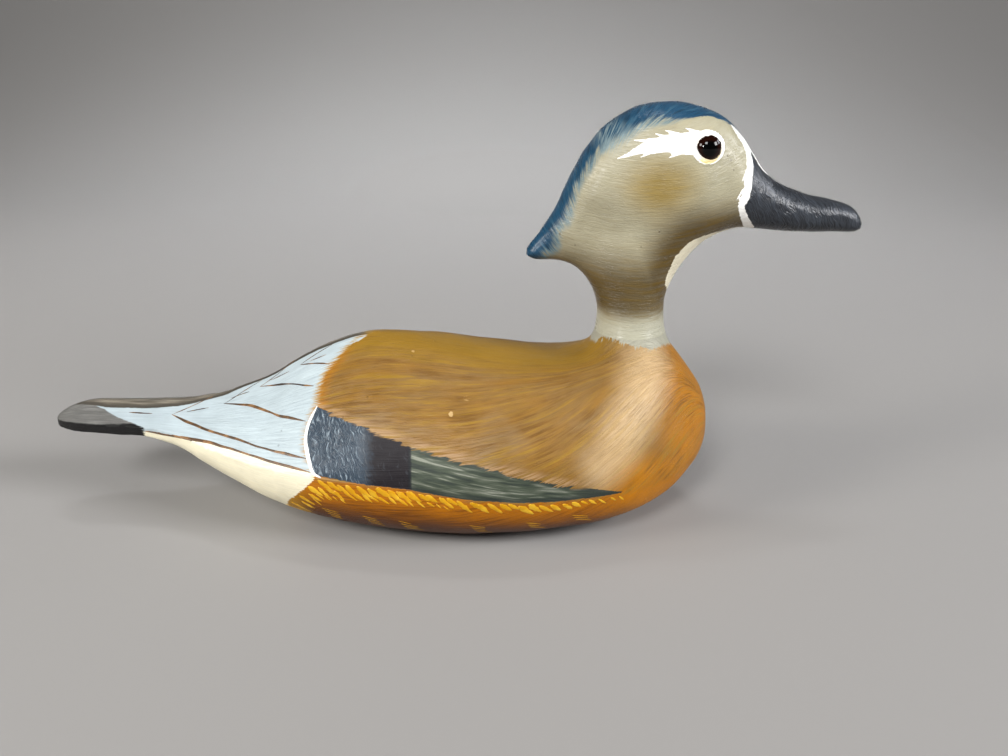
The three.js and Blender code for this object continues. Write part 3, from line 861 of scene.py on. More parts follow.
def makePaintFilm():
    inputs = {"Color": "Color", "Strokes": "Float", "Place": "Vector", "Streaking": "Float",
              "Grooves": "Float", "Relief": "Float", "Satin": "Float"}
    outputs = {"Color": "Color", "Roughness": "Float", "Height": "Float"}
    tree, given, result = newGroup("paintFilm", inputs, outputs)
    cloud = span(noiseIn(given["Place"], filmDetail["patch"], 4.0), 0.3, 0.7, -1.0, 1.0, kind="LINEAR")
    # tone follows the bristles, lighter on their ridges and darker in their hollows and grooves: partly
    # brush streaking and partly painted shade
    lift = times(timesPlus(given["Strokes"], 2.0, -1.0), given["Streaking"])
    lift = timesPlus(cloud, filmDetail["patchTone"], lift)
    lift = timesPlus(given["Grooves"], filmDetail["grooveShade"], lift)
    toned = scaled(given["Color"], plus(lift, 1.0))
    sockets = {"Vector": given["Place"], "Scale": filmDetail["speck"], "Randomness": 1.0}
    specks = add(tree, "TexVoronoi", sockets)
    chance = addTo("SeparateColor", {0: specks["Color"]})[0]
    dot = span(specks["Distance"], *filmDetail["speckSize"], 1.0, 0.0)
    dot = times(dot, calc("GREATER_THAN", chance, filmDetail["speckChance"]))
    dotted = blend(times(dot, filmDetail["speckTone"]), toned, filmDetail["speckColor"])
    tree.links.new(dotted, result["Color"])
    rough = timesPlus(cloud, filmDetail["patchGloss"], given["Satin"])
    tree.links.new(timesPlus(given["Strokes"], filmDetail["strokeGloss"], rough), result["Roughness"])
    height = times(given["Strokes"], given["Relief"])
    height = timesPlus(noiseIn(given["Place"], filmDetail["grain"], 2.0), filmDetail["grainHeight"], height)
    height = timesPlus(given["Grooves"], filmDetail["grooveDepth"], height)
    tree.links.new(timesPlus(dot, filmDetail["speckHeight"], height), result["Height"])
    return tree


bristleStrokes = makeBristleStrokes()
raggedEdge = makeRaggedEdge()
paintFilm = makePaintFilm()


def strokesIn(across, place, width, length, output="Value"):
    sockets = {"Across": across, "Place": place, "Width": width, "Length": length}
    return addTo("Group", sockets, node_tree=bristleStrokes)[output]


def edgeIn(distance, strokes, reach, softness):
    sockets = {"Distance": distance, "Strokes": strokes, "Reach": reach, "Softness": softness}
    return addTo("Group", sockets, node_tree=raggedEdge)["Mask"]


# A spot where the paint is chipped or scuffed, with a crumbly outline.
def spotIn(place, centre, size, crumbs):
    return span(timesPlus(crumbs, size, apart(place, centre)), size, size * 1.2, 1.0, 0.0)


# A share of the streaks, for laying one colour over another.
def share(strokes, low, high, amount):
    return span(strokes, low, high, 0.0, amount)


def newMaterial(name, specular=0.28):
    material = bpy.data.materials.new(name)
    material.use_nodes = True
    tree = material.node_tree
    surface = tree.nodes["Principled BSDF"].inputs
    surface["Specular IOR Level"].default_value = specular
    return material, tree, surface


def finishPaint(tree, surface, film, height):
    tree.links.new(film["Color"], surface["Base Color"])
    tree.links.new(film["Roughness"], surface["Roughness"])
    bump = add(tree, "Bump", {"Height": height, "Distance": mm, "Strength": 1.0})[0]
    tree.links.new(bump, surface["Normal"])


headColors = {
    "olive": "#a19b82", "oliveLight": "#aba690", "blush": "#8c7538", "shade": "#463308",
    "shadePale": "#6f5715", "grey": "#aaa895", "crown": "#204660", "crownDeep": "#122635",
    "crownPale": "#547a8b", "crownGlint": "#87999c", "white": "#f8f7f2", "cream": "#ded6bc",
    "gold": "#c6a848", "bill": "#202124", "billPale": "#363b42", "nick": "#6a614c",
}
headBristles = {  # how wide and how long the marks of each brush are
    "fine": (0.55, 9.0), "middle": (1.3, 14.0), "broad": (3.2, 20.0), "hair": (0.45, 7.0),
    "hairBroad": (1.4, 11.0), "bill": (0.6, 4.0), "groove": (1.5, 16.0), "fineGroove": (0.9, 9.0),
}
headFilm = {
    "streaking": 0.05, "relief": 0.1, "billRelief": 0.08, "satin": 0.26, "whiteHeight": 0.07,
    "crownGlint": (68.5, 0.0, 166.0),
    "nicks": [
        ((113.4, -16.2, 159.0), 0.9), ((114.8, -15.9, 157.4), 0.7), ((116.3, -16.0, 153.7), 0.6),
        ((49.9, -8.1, 127.1), 0.9), ((56.0, -9.3, 122.8), 0.6), ((81.8, -17.2, 123.7), 0.6),
    ],
}


# Olive with a warm cheek, a brown shade brushed round the neck and under the jaw, where it is deepened
# as painted shade for the jaw's underside, and grey at its foot.
def oliveIn(tree, place, z, middle, throatAway):
    broad = strokesIn(reading(tree, "across"), place, *headBristles["broad"])
    color = blend(share(broad, 0.2, 1.0, 0.4), headColors["olive"], headColors["oliveLight"])
    color = blend(share(middle, 0.6, 1.0, 0.12), color, headColors["shadePale"])
    cheek = span(reading(tree, "cheek"), 2.0, 22.0, 0.95, 0.0)
    color = blend(times(cheek, span(middle, 0.0, 1.0, 0.8, 1.0)), color, headColors["blush"])
    # painted shade: darker brown near the throat's edge, where the jaw faces down
    jaw = span(throatAway, -22.0, -5.0, 0.0, 0.97)
    neck = times(span(z, 130.0, 106.0, 0.0, 0.92), span(z, 87.0, 98.0))
    shade = times(larger(jaw, neck), span(middle, 0.0, 0.9, 0.85, 1.0))
    brown = blend(share(middle, 0.3, 0.9, 0.4), headColors["shade"], headColors["shadePale"])
    color = blend(shade, color, brown)
    foot = span(timesPlus(middle, 4.0, z), 90.0, 98.0, 1.0, 0.0)
    return blend(foot, color, headColors["grey"])


# The blue crown, dry brushed out over the olive, with a pale spot painted on as a highlight where it glints.
def crownOver(color, tree, place, x, z, hair):
    crown = reading(tree, "crown")
    broad = strokesIn(reading(tree, "crownAcross"), place, *headBristles["hairBroad"])
    behind = span(x, 100.0, 84.0)
    veilReach = timesPlus(behind, 3.0, 0.4)
    veil = span(calc("DIVIDE", plus(crown, veilReach), veilReach), 0.0, 1.0)
    veil = times(veil, span(hair, 0.15, 0.75, 0.25, 1.0), span(x, 100.0, 88.0, 0.2, 0.8))
    color = blend(veil, color, headColors["crownPale"])
    mixed = timesPlus(broad, 0.5, times(hair, 0.5))
    reach = timesPlus(behind, 1.7, 0.8)
    softness = timesPlus(behind, 1.5, 0.5)
    mask = edgeIn(timesPlus(behind, -1.6, crown), mixed, reach, softness)
    blue = blend(share(hair, 0.3, 1.0, 0.75), headColors["crown"], headColors["crownDeep"])
    blue = blend(share(broad, 0.5, 0.0, 0.3), blue, headColors["crownPale"])
    color = blend(mask, color, blue)
    flat = add(tree, "CombineXYZ", {0: x, 2: z})[0]
    # painted highlight: a pale dry-brushed spot where the crown glints
    crownGlint = times(span(apart(flat, headFilm["crownGlint"]), 2.0, 9.0, 0.75, 0.0), span(hair, 0.2, 0.8))
    return blend(crownGlint, color, headColors["crownGlint"]), mask


def makeHeadPaint():
    material, tree, surface = newMaterial("headPaint")
    place = placeIn(tree)
    x, _, z = add(tree, "SeparateXYZ", {0: place})
    across = reading(tree, "across")
    fine = strokesIn(across, place, *headBristles["fine"])
    middle = strokesIn(across, place, *headBristles["middle"])
    hair = strokesIn(reading(tree, "crownAcross"), place, *headBristles["hair"])
    crumbs = noiseIn(place, 0.7, 2.0)
    throatAway = reading(tree, "throat")
    color = oliveIn(tree, place, z, middle, throatAway)
    color, blueMask = crownOver(color, tree, place, x, z, hair)
    # cream under the throat and white lines, the one at the bill stopping at the crown
    color = blend(edgeIn(throatAway, fine, 0.5, 0.25), color, headColors["cream"])
    crumb = timesPlus(crumbs, 1.0, -0.5)
    white = edgeIn(plus(reading(tree, "billLine"), crumb), fine, 0.3, 0.12)
    white = times(white, timesPlus(blueMask, -1.0, 1.0))
    color = blend(white, color, headColors["white"])
    patch = edgeIn(reading(tree, "eyePatch"), fine, 0.25, 0.12)
    underEye = span(z, float(eyeCentre[2] - 2), float(eyeCentre[2] - 5))
    crescent = times(span(reading(tree, "eyeAway"), 5.4, 5.9, 0.85, 0.0), underEye)
    color = blend(patch, color, blend(crescent, headColors["white"], headColors["gold"]))
    # black bill, its marks curling with the brush
    billAcross = timesPlus(noiseIn(place, 0.15, 1.0), 6.0, reading(tree, "billAcross"))
    billStrokes = strokesIn(billAcross, place, *headBristles["bill"])
    bill = edgeIn(reading(tree, "bill"), crumbs, 0.3, 0.12)
    color = blend(bill, color, blend(billStrokes, headColors["bill"], headColors["billPale"]))
    for centre, size in headFilm["nicks"]:
        color = blend(times(spotIn(place, centre, size, crumbs), 0.7), color, headColors["nick"])
    ridges = timesPlus(middle, 0.5, times(fine, 0.5))
    ridges = between(bill, between(blueMask, ridges, hair), billStrokes)
    grooves = larger(strokesIn(across, place, *headBristles["groove"], "Grooves"),
                     strokesIn(plus(across, 50.0), place, *headBristles["fineGroove"], "Grooves"))
    bare = calc("SUBTRACT", 1.0, larger(blueMask, bill))
    film = addTo("Group", {
        "Color": color, "Strokes": ridges, "Place": place, "Streaking": headFilm["streaking"],
        "Grooves": times(grooves, bare), "Satin": headFilm["satin"],
        "Relief": timesPlus(bill, headFilm["billRelief"], headFilm["relief"]),
    }, node_tree=paintFilm)
    coats = times(plus(patch, white), headFilm["whiteHeight"])
    finishPaint(tree, surface, film, plus(film["Height"], coats))
    return material


bodyColors = {
    "ochre": "#8a6325", "tan": "#7c6039", "yellow": "#967426", "brown": "#6b4a1c",
    "darkBrown": "#4e391c", "bright": "#a8822e", "haze": "#80694b", "rim": "#b27005",
    "band": "#8e6c21", "grey": "#9f9d8d", "sheen": "#cdb187", "flank": "#ae6800",
    "flankDeep": "#532900", "flankEnd": "#be8a10", "rump": "#abb8be", "rumpPale": "#b6c3c7",
    "cream": "#efe8cd", "creamDeep": "#e7debe", "tail": "#646360", "tailPale": "#a8a8a3",
    "tailEdge": "#0f0e0d", "spine": "#4b463e", "spineHighlight": "#90887a", "blue": "#37434f",
    "bluePale": "#919fa9", "purple": "#171217", "green": "#424a3d", "greenPale": "#8a8d80",
    "greenDark": "#272e2c", "chip": "#c6a673", "seam": "#14171c", "border": "#aa8a66",
}
bodyBristles = {  # how wide and how long the marks of each brush are
    "fine": (0.5, 11.0), "thin": (1.0, 16.0), "middle": (2.4, 22.0), "broad": (6.0, 30.0),
    "hair": (0.4, 7.0), "short": (0.6, 3.6), "grain": (0.5, 12.0), "mist": (1.7, 16.0),
    "jagged": (2.0, 9.0), "tuft": (0.5, 8.0), "groove": (1.1, 12.0),
}
bodyFilm = {
    "streaking": 0.08, "relief": 0.08, "satin": 0.38, "specular": 0.19, "lip": 0.22,
    "wingRelief": 0.22, "wingDull": 0.15, "wingGloss": -0.25,
    "chips": [  # (centre, size, how much of the paint is gone); a faint one is broken up
        ((5.9, -42.8, 62.1), 1.7, 0.8), ((-11.4, -14.1, 78.6), 1.2, 0.6), ((12.1, -36.9, 66.6), 2.6, 0.4),
    ],
}


# Golden brown, laid on in many thin strokes that run forward and up: brown and yellow over tan, a
# yellow band along the top, clear ochre round the breast, and a pale painted sheen down the breast.
def goldIn(place, x, down, warm, flankAway, sheenAway, fine, thin, middle, broad):
    gold = blend(broad, bodyColors["ochre"], bodyColors["tan"])
    rim = larger(span(warm, 1.0, 8.0, 0.7, 0.0), span(x, 80.0, 108.0))
    rim = larger(rim, times(span(flankAway, -24.0, -5.0), span(x, 58.0, 82.0)))
    rim = times(rim, span(middle, 0.0, 0.8, 0.65, 1.0))
    gold = blend(rim, gold, bodyColors["rim"])
    hazy = times(span(noiseIn(place, 0.045, 3.0), 0.45, 0.68, 0.0, 0.75), span(down, 30.0, 60.0, 0.25, 1.0))
    gold = blend(times(hazy, span(rim, 0.0, 0.6, 1.0, 0.0)), gold, bodyColors["haze"])
    busy = span(noiseIn(place, 0.08, 2.0), 0.4, 0.62, 0.35, 1.0)
    gold = blend(times(share(middle, 0.5, 0.85, 0.75), busy), gold, bodyColors["brown"])
    gold = blend(share(middle, 0.45, 0.1, 0.65), gold, bodyColors["yellow"])
    gold = blend(times(share(thin, 0.55, 0.85, 0.6), busy), gold, bodyColors["brown"])
    gold = blend(share(thin, 0.42, 0.1, 0.3), gold, bodyColors["yellow"])
    band = span(timesPlus(middle, 9.0, down), 14.0, 27.0, 0.85, 0.0)
    band = times(band, times(span(x, -48.0, -30.0), span(x, 86.0, 72.0)))
    gold = blend(band, gold, bodyColors["band"])
    # painted sheen: a pale band down the breast where the light glances off it
    sheen = times(span(sheenAway, 2.0, 17.0, 0.7, 0.0), span(thin, 0.0, 0.9, 0.75, 1.0))
    gold = blend(sheen, gold, bodyColors["sheen"])
    gold = blend(times(share(fine, 0.6, 0.95, 0.4), busy), gold, bodyColors["darkBrown"])
    return blend(share(fine, 0.4, 0.05, 0.28), gold, bodyColors["bright"])


# Orange brown under the wing, darker low down, partly its own deeper brown and partly painted shade where
# the flank turns under, clear again round the breast and yellow at the rear.
def flankIn(x, flankAway, thin):
    # partly painted shade: darker further below the wing's edge, where the flank faces the floor
    deep = span(timesPlus(thin, 6.0, flankAway), 6.0, 26.0)
    flank = blend(deep, bodyColors["flank"], bodyColors["flankDeep"])
    flank = blend(share(thin, 0.5, 0.9, 0.5), flank, bodyColors["flankDeep"])
    flank = blend(span(x, 58.0, 92.0), flank, bodyColors["rim"])
    return blend(span(x, -50.0, -64.0, 0.0, 0.75), flank, bodyColors["flankEnd"])


# The wing patch: blue with short bristle marks and pale flecks painted on as glints, purple brown, and a
# green wedge with pale streaks.
def wingIn(place, x, z, crumbs, wing):
    turned = timesPlus(z, 0.35, timesPlus(noiseIn(place, 0.22, 1.0), 5.0, x))
    short = strokesIn(turned, place, *bodyBristles["short"])
    # painted highlight: pale flecks on the bristle marks stand in for glints, strongest towards the rear
    glints = times(span(crumbs, 0.4, 0.6, 0.4, 1.0), span(x, -22.0, -32.0, 0.5, 1.0))
    glintFlecks = times(share(short, 0.5, 0.95, 0.85), glints)
    blue = blend(glintFlecks, bodyColors["blue"], bodyColors["bluePale"])
    purple = blend(share(short, 0.7, 1.0, 0.05), bodyColors["purple"], bodyColors["bluePale"])
    wedge = timesPlus(x, 0.19, z)
    grain = strokesIn(wedge, place, *bodyBristles["grain"])
    mist = strokesIn(wedge, place, *bodyBristles["mist"])
    pale = times(span(grain, 0.3, 0.85, 0.15, 1.0), span(mist, 0.35, 0.8))
    green = blend(share(mist, 0.45, 0.1, 0.7), bodyColors["green"], bodyColors["greenDark"])
    green = blend(pale, green, bodyColors["greenPale"])
    edge = times(span(wing, 3.0, 0.6), span(grain, 0.0, 0.6, 0.3, 0.85))
    green = blend(edge, green, bodyColors["greenDark"])
    shift = timesPlus(crumbs, 5.0, timesPlus(short, 4.0, x))
    patch = blend(span(shift, -27.0, -19.0), blue, purple)
    patch = blend(span(timesPlus(crumbs, 0.8, x), -9.9, -9.5), patch, green)
    lineAway = calc("ABSOLUTE", timesPlus(crumbs, 0.8, plus(x, 9.7)))
    patch = blend(span(lineAway, 0.3, 0.9, 0.85, 0.0), patch, bodyColors["seam"])
    return patch, short, span(x, -23.0, -33.0, 0.05, 1.0)


# Pale rump over a cream underside, a charcoal tail with a black edge, and the stripe along the ridge,
# lighter down its middle as a painted highlight on the ridge.
def rumpIn(tree, crumbs, fine, thin):
    rump = blend(thin, bodyColors["rump"], bodyColors["rumpPale"])
    cream = blend(share(thin, 0.5, 1.0, 0.8), bodyColors["cream"], bodyColors["creamDeep"])
    color = blend(edgeIn(reading(tree, "chine"), crumbs, 0.4, 0.25), cream, rump)
    tail = blend(share(fine, 0.5, 0.95, 0.6), bodyColors["tail"], bodyColors["tailPale"])
    tail = blend(edgeIn(reading(tree, "bluntEdge"), crumbs, 0.4, 0.3), tail, bodyColors["tailEdge"])
    color = blend(edgeIn(reading(tree, "tailDark"), fine, 0.7, 0.3), color, tail)
    spineAway = reading(tree, "spine")
    # painted highlight: the middle of the stripe, on the ridge itself, is lighter in streaks
    streak = times(span(spineAway, 1.2, 3.0), span(fine, 0.2, 0.8))
    spine = blend(streak, bodyColors["spine"], bodyColors["spineHighlight"])
    return blend(edgeIn(spineAway, crumbs, 0.25, 0.2), color, spine)


def makeBodyPaint():
    material, tree, surface = newMaterial("bodyPaint", bodyFilm["specular"])
    place = placeIn(tree)
    x, y, z = add(tree, "SeparateXYZ", {0: place})
    names = ("across", "down", "warm", "wing", "flank", "sheen")
    across, down, warm, wing, flankAway, sheenAway = (reading(tree, name) for name in names)
    crumbs = noiseIn(place, 0.6, 2.0)
    fine, middle, broad, hair = (
        strokesIn(across, place, *bodyBristles[name]) for name in ("fine", "middle", "broad", "hair")
    )
    thin = strokesIn(plus(across, 40.0), place, *bodyBristles["thin"])
    gold = goldIn(place, x, down, warm, flankAway, sheenAway, fine, thin, middle, broad)
    gold = blend(span(timesPlus(middle, 3.0, flankAway), 0.0, 4.0), gold, flankIn(x, flankAway, thin))
    color = rumpIn(tree, crumbs, fine, thin)
    # the warm coat over all of that: fine hairs along its rear edge, cut off clean on the flank
    loose = span(z, 34.0, 42.0)
    veil = times(edgeIn(plus(warm, 0.6), hair, 2.6, 1.3), 0.8, loose)
    color = blend(veil, color, bodyColors["bright"])
    inset = timesPlus(loose, -1.0, warm)
    color = blend(edgeIn(inset, hair, timesPlus(loose, 1.6, 0.5), timesPlus(loose, 0.7, 0.2)), color, gold)
    # the wing patch, with the gold brushed over its upper edge in short jagged strokes
    patch, short, bumpy = wingIn(place, x, z, crumbs, wing)
    border = times(span(wing, -4.0, -0.5, 0.0, 0.7), share(thin, 0.3, 0.7, 1.0))
    border = times(border, span(flankAway, -5.0, -8.0))
    color = blend(border, color, bodyColors["border"])
    jagged = strokesIn(timesPlus(x, -0.25, z), place, *bodyBristles["jagged"])
    jagged = timesPlus(jagged, 0.6, times(hair, 0.4))
    frayed = edgeIn(calc("SUBTRACT", wing, 0.9), jagged, 2.3, 0.3)
    straight = larger(span(flankAway, -6.0, -4.0), span(x, -46.0, -44.0, 1.0, 0.0))
    wingMask = between(straight, frayed, edgeIn(wing, crumbs, 0.3, 0.15))
    color = blend(wingMask, color, patch)
    around = times(calc("ARCTAN2", calc("SUBTRACT", x, 83.0), y), 16.0)
    tuft = strokesIn(around, place, *bodyBristles["tuft"])
    neck = edgeIn(calc("SUBTRACT", reading(tree, "neckPaint"), 0.3), tuft, 1.3, 0.6)
    color = blend(neck, color, bodyColors["grey"])
    for centre, size, amount in bodyFilm["chips"]:
        chip = spotIn(place, centre, size, crumbs)
        if amount < 0.5:
            chip = times(chip, share(crumbs, 0.5, 0.6, 1.0))
        color = blend(times(chip, amount), color, bodyColors["chip"])
    bumpy = times(wingMask, bumpy)
    ridges = between(bumpy, timesPlus(thin, 0.5, times(fine, 0.5)), short)
    grooves = strokesIn(plus(across, 60.0), place, *bodyBristles["groove"], "Grooves")
    satin = timesPlus(wingMask, bodyFilm["wingDull"], bodyFilm["satin"])
    film = addTo("Group", {
        "Color": color, "Strokes": ridges, "Place": place, "Streaking": bodyFilm["streaking"],
        "Grooves": times(grooves, calc("SUBTRACT", 1.0, wingMask)),
        "Relief": timesPlus(bumpy, bodyFilm["wingRelief"], bodyFilm["relief"]),
        "Satin": timesPlus(bumpy, bodyFilm["wingGloss"], satin),
    }, node_tree=paintFilm)
    # the flank stands a hair's breadth proud of the wing
    lip = times(span(flankAway, -0.5, 0.6), span(x, 70.0, 40.0))
    finishPaint(tree, surface, film, timesPlus(lip, bodyFilm["lip"], film["Height"]))
    return material


def makeStrokePaint(name, dark, pale):
    material, tree, surface = newMaterial(name)
    place = placeIn(tree)
    along = noiseIn(place, 0.22, 2.0)
    paler = plus(span(along, 0.42, 0.7), reading(tree, "tone"), clamp=True)
    film = addTo("Group", {
        "Color": blend(paler, dark, pale), "Strokes": along, "Place": place, "Streaking": 0.1,
        "Grooves": 0.0, "Relief": 0.03, "Satin": 0.36,
    }, node_tree=paintFilm)
    finishPaint(tree, surface, film, film["Height"])
    return material


eyeGlass = {
    "rings": 28, "segments": 48, "pupil": "#020202", "iris": "#1a0703", "pupilEdge": (2.4, 3.6),
    "rimEdge": (5.22, 5.36), "glassRoughness": 0.03, "rimRoughness": 0.45, "coat": 0.55,
}


def makeEyeGlass():
    material, tree, surface = newMaterial("eyeGlass", 0.05)
    away = reading(tree, "eyeAway")
    place = placeIn(tree)
    _, _, height = add(tree, "SeparateXYZ", {0: place})
    iris = blend(span(away, *eyeGlass["pupilEdge"]), eyeGlass["pupil"], eyeGlass["iris"])
    painted = span(timesPlus(noiseIn(place, 0.9, 3.0), 1.1, away), *eyeGlass["rimEdge"])
    low = span(height, float(eyeCentre[2] - 3), float(eyeCentre[2] + 1), 0.8, 0.1)
    rim = blend(low, headColors["white"], headColors["gold"])
    tree.links.new(blend(painted, iris, rim), surface["Base Color"])
    rough = span(painted, 0.0, 1.0, eyeGlass["glassRoughness"], eyeGlass["rimRoughness"])
    tree.links.new(rough, surface["Roughness"])
    tree.links.new(span(painted, 0.0, 1.0, eyeGlass["coat"], 0.0), surface["Coat Weight"])
    surface["Coat Roughness"].default_value = eyeGlass["glassRoughness"]
    surface["Coat IOR"].default_value = 1.33
    return material


# Head block: bill, head, crest and neck in one piece of wood, glued on at the joint.
headBlock = {"low": (30, 0, 80), "high": (180, 27, 181), "step": 0.72, "cuts": [(headJoint, -1)]}
headMesh = carveBlock("headBlock", **headBlock)
headPoints = meshPoints(headMesh)
shadeSmooth(headMesh, headPoints)
paintHead(headMesh, headPoints)
newPiece("headBlock", headMesh, makeHeadPaint(), ["bill", "head", "crest", "neck"])

# Body block: torso and tail, planed flat underneath.
bodyBlock = {"low": (-177, 0, -4), "high": (121, 60, 86.5), "step": 1.12, "cuts": [(0, -1), (headJoint, 1)]}
bodyMesh = carveBlock("bodyBlock", **bodyBlock)
bodyPoints = meshPoints(bodyMesh)
shadeSmooth(bodyMesh, bodyPoints)
paintBody(bodyMesh, bodyPoints)
newPiece("bodyBlock", bodyMesh, makeBodyPaint(), ["torso", "tail"])

# Glass eyes, with the white rim painted a little over the glass.
eyePaint = makeEyeGlass()
for side, nodeName in ((1, "eye_left"), (-1, "eye_right")):
    low, high = nodeBox(nodeName)
    centre = (low + high) / 2
    mesh = bpy.data.meshes.new(nodeName + "_glass")
    work = bmesh.new()
    bmesh.ops.create_uvsphere(
        work, u_segments=eyeGlass["segments"], v_segments=eyeGlass["rings"], radius=eyeRadius * mm
    )
    outwards = Vector((0, 0, 1)).rotation_difference(Vector((0, side, 0))).to_matrix()
    bmesh.ops.rotate(work, verts=work.verts[:], matrix=outwards)
    bmesh.ops.translate(work, verts=work.verts[:], vec=Vector(centre * mm))
    work.to_mesh(mesh)
    work.free()
    mesh.shade_smooth()
    points = meshPoints(mesh)
    carry(mesh, "eyeAway", np.hypot(points[:, 0] - centre[0], points[:, 2] - centre[2]))
    newPiece(nodeName + "_glass", mesh, eyePaint, [nodeName])
print("eyes", len(points), "corners each")

# The points that the white is drawn out into: from inside the coat to each tip, and the width.
whiteTips = {
    "seed": 3, "spacing": 0.5, "wobble": 0.15, "taper": (0.05, 0.95),
    "strokes": [
        ([(102, 16.4, 167.4), (96.4, 15.8, 169.3)], 2.2),
        ([(95, 17.3, 166.6), (88.6, 16.3, 168.6)], 2.4),
        ([(90.5, 17.6, 165.4), (84.8, 16.5, 167.4)], 2.2),
        ([(86.5, 17.7, 164.2), (76.8, 16, 165)], 2.2),
        ([(87, 18.4, 162.8), (78.5, 17.4, 160.5), (70.8, 16, 158)], 3.2),
        ([(86, 18.8, 161.8), (79.4, 18.2, 158.7)], 1.8),
        ([(96.5, 20, 161.6), (90, 19.9, 158.7)], 2),
        ([(122.4, 13.6, 153.8), (119.9, 14.9, 149.2)], 1.5),
        ([(121, 15.3, 146.4), (118.4, 15.8, 142)], 1.4),
    ],
}
rng = np.random.default_rng(whiteTips["seed"])
strokes = []
for points, width in whiteTips["strokes"]:
    for side in (1, -1):
        path = spacedPath(points, whiteTips["spacing"]) * (1, side, 1)
        strokes.append((ribbon(path, width, rng, whiteTips["wobble"], whiteTips["taper"]), 0.0))
whitePaint = makeStrokePaint("whitePaint", headColors["white"], headColors["white"])
strokePiece("whiteTips", strokes, whitePaint)

# Brown feather outlines on the rump: (points, width at the middle, taper at either end).
featherLines = {
    "seed": 5, "spacing": 0.8, "wander": 0.13, "wobble": 0.35, "tones": (-0.1, 0.25),
    "dark": "#3b2f27", "pale": "#86633f",
    "strokes": [
        ([(-118.6, 9.7, 47.9), (-110.6, 5.6, 50.2), (-102.9, 1.8, 52.9)], 0.7, 0.2),
        ([(-119, 9.8, 47.8), (-109.8, 15.3, 46.2), (-98, 22.4, 45.3), (-86.2, 28.4, 44.6),
          (-71.2, 36.6, 43.7), (-53, 44.3, 43.1)], 1.7, 0.12),
        ([(-112.6, 9, 48.7), (-107.5, 9, 49.7), (-102.7, 8.9, 50.5)], 0.9, 0.4),
        ([(-95.7, 8.6, 52.4), (-87.6, 5.2, 56.7), (-80.2, 2, 60.7)], 0.7, 0.2),
        ([(-96, 8.7, 52.3), (-81.2, 16.1, 54.2), (-67.2, 26.5, 54.3), (-54.3, 33.8, 54.9)], 1.5, 0.15),
        ([(-93.3, 6.6, 54.1), (-84.7, 6.9, 57.2)], 0.8, 0.4),
        ([(-79.7, 6.1, 59.6), (-72.3, 3.2, 64.6), (-65.3, 0.4, 69.2)], 0.7, 0.2),
        ([(-80, 6.2, 59.5), (-67.2, 12.6, 63.1), (-52.8, 21.6, 65.7)], 1.3, 0.2),
        ([(-75.5, 5, 61.8), (-66.4, 6.3, 66.5)], 0.8, 0.4),
        ([(-61.1, 6.4, 69.8), (-54.3, 4.6, 73.8), (-47.5, 2.9, 77.5)], 0.7, 0.2),
        ([(-61.3, 6.5, 69.7), (-54.3, 10.3, 71.7), (-46.9, 14.2, 73)], 1.1, 0.25),
        ([(-57, 7.4, 71.7), (-49.6, 8.1, 74.8)], 0.8, 0.4),
        ([(-138.5, 8.3, 47.9), (-128.1, 9.1, 47.8)], 1.1, 0.35),
        ([(-129, 16.6, 42.5), (-121.9, 18.3, 42.2), (-115.4, 20.4, 42), (-108.7, 22.8, 42.1),
          (-96, 27.6, 41.9), (-79, 35.9, 40.9), (-68.7, 40.8, 40.1), (-51.4, 47.1, 38.6)], 1.5, 0.1),
    ],
}
rng = np.random.default_rng(featherLines["seed"])
strokes = []
for points, width, taper in featherLines["strokes"]:
    for side in (1, -1):
        path = spacedPath(points, featherLines["spacing"])
        path = wander(path, featherLines["wander"], rng) * (1, side, 1)
        laid = ribbon(path, width, rng, featherLines["wobble"], (taper, taper))
        strokes.append((laid, rng.uniform(*featherLines["tones"])))
linePaint = makeStrokePaint("featherLine", featherLines["dark"], featherLines["pale"])
strokePiece("featherLines", strokes, linePaint)

# White bar behind the wing patch.
wingBar = {
    "seed": 9, "spacing": 1.0, "wobble": 0.15, "taper": (0.2, 0.15), "color": "#f1f0ea", "pale": "#dfe3e3",
    "path": [(-50.1, 30.2, 60.3), (-52.6, 34, 56), (-53.6, 37, 52), (-53.8, 40, 48.6), (-52.9, 42.5, 45.6),
             (-51.4, 45.4, 41.6), (-49.6, 47.6, 38.2), (-46.3, 48.8, 36.9)],
    "width": 2.1,
}
rng = np.random.default_rng(wingBar["seed"])
strokes = []
for side in (1, -1):
    path = spacedPath(wingBar["path"], wingBar["spacing"]) * (1, side, 1)
    strokes.append((ribbon(path, wingBar["width"], rng, wingBar["wobble"], wingBar["taper"]), 0.0))
strokePiece("wingBar", strokes, makeStrokePaint("wingBarPaint", wingBar["color"], wingBar["pale"]))


# Where the side of the body stands at places and heights, found by halving.
def sidePoints(ends, widest=62.0, halvings=20):
    x, z = np.array(ends, float).T
    low = np.zeros(len(x))
    high = np.full(len(x), widest)
    for _ in range(halvings):
        middle = (low + high) / 2
        inside = bodyForm(x, middle, z) > 0
        low = np.where(inside, middle, low)
        high = np.where(inside, high, middle)
    return np.stack([x, low, z], axis=1)


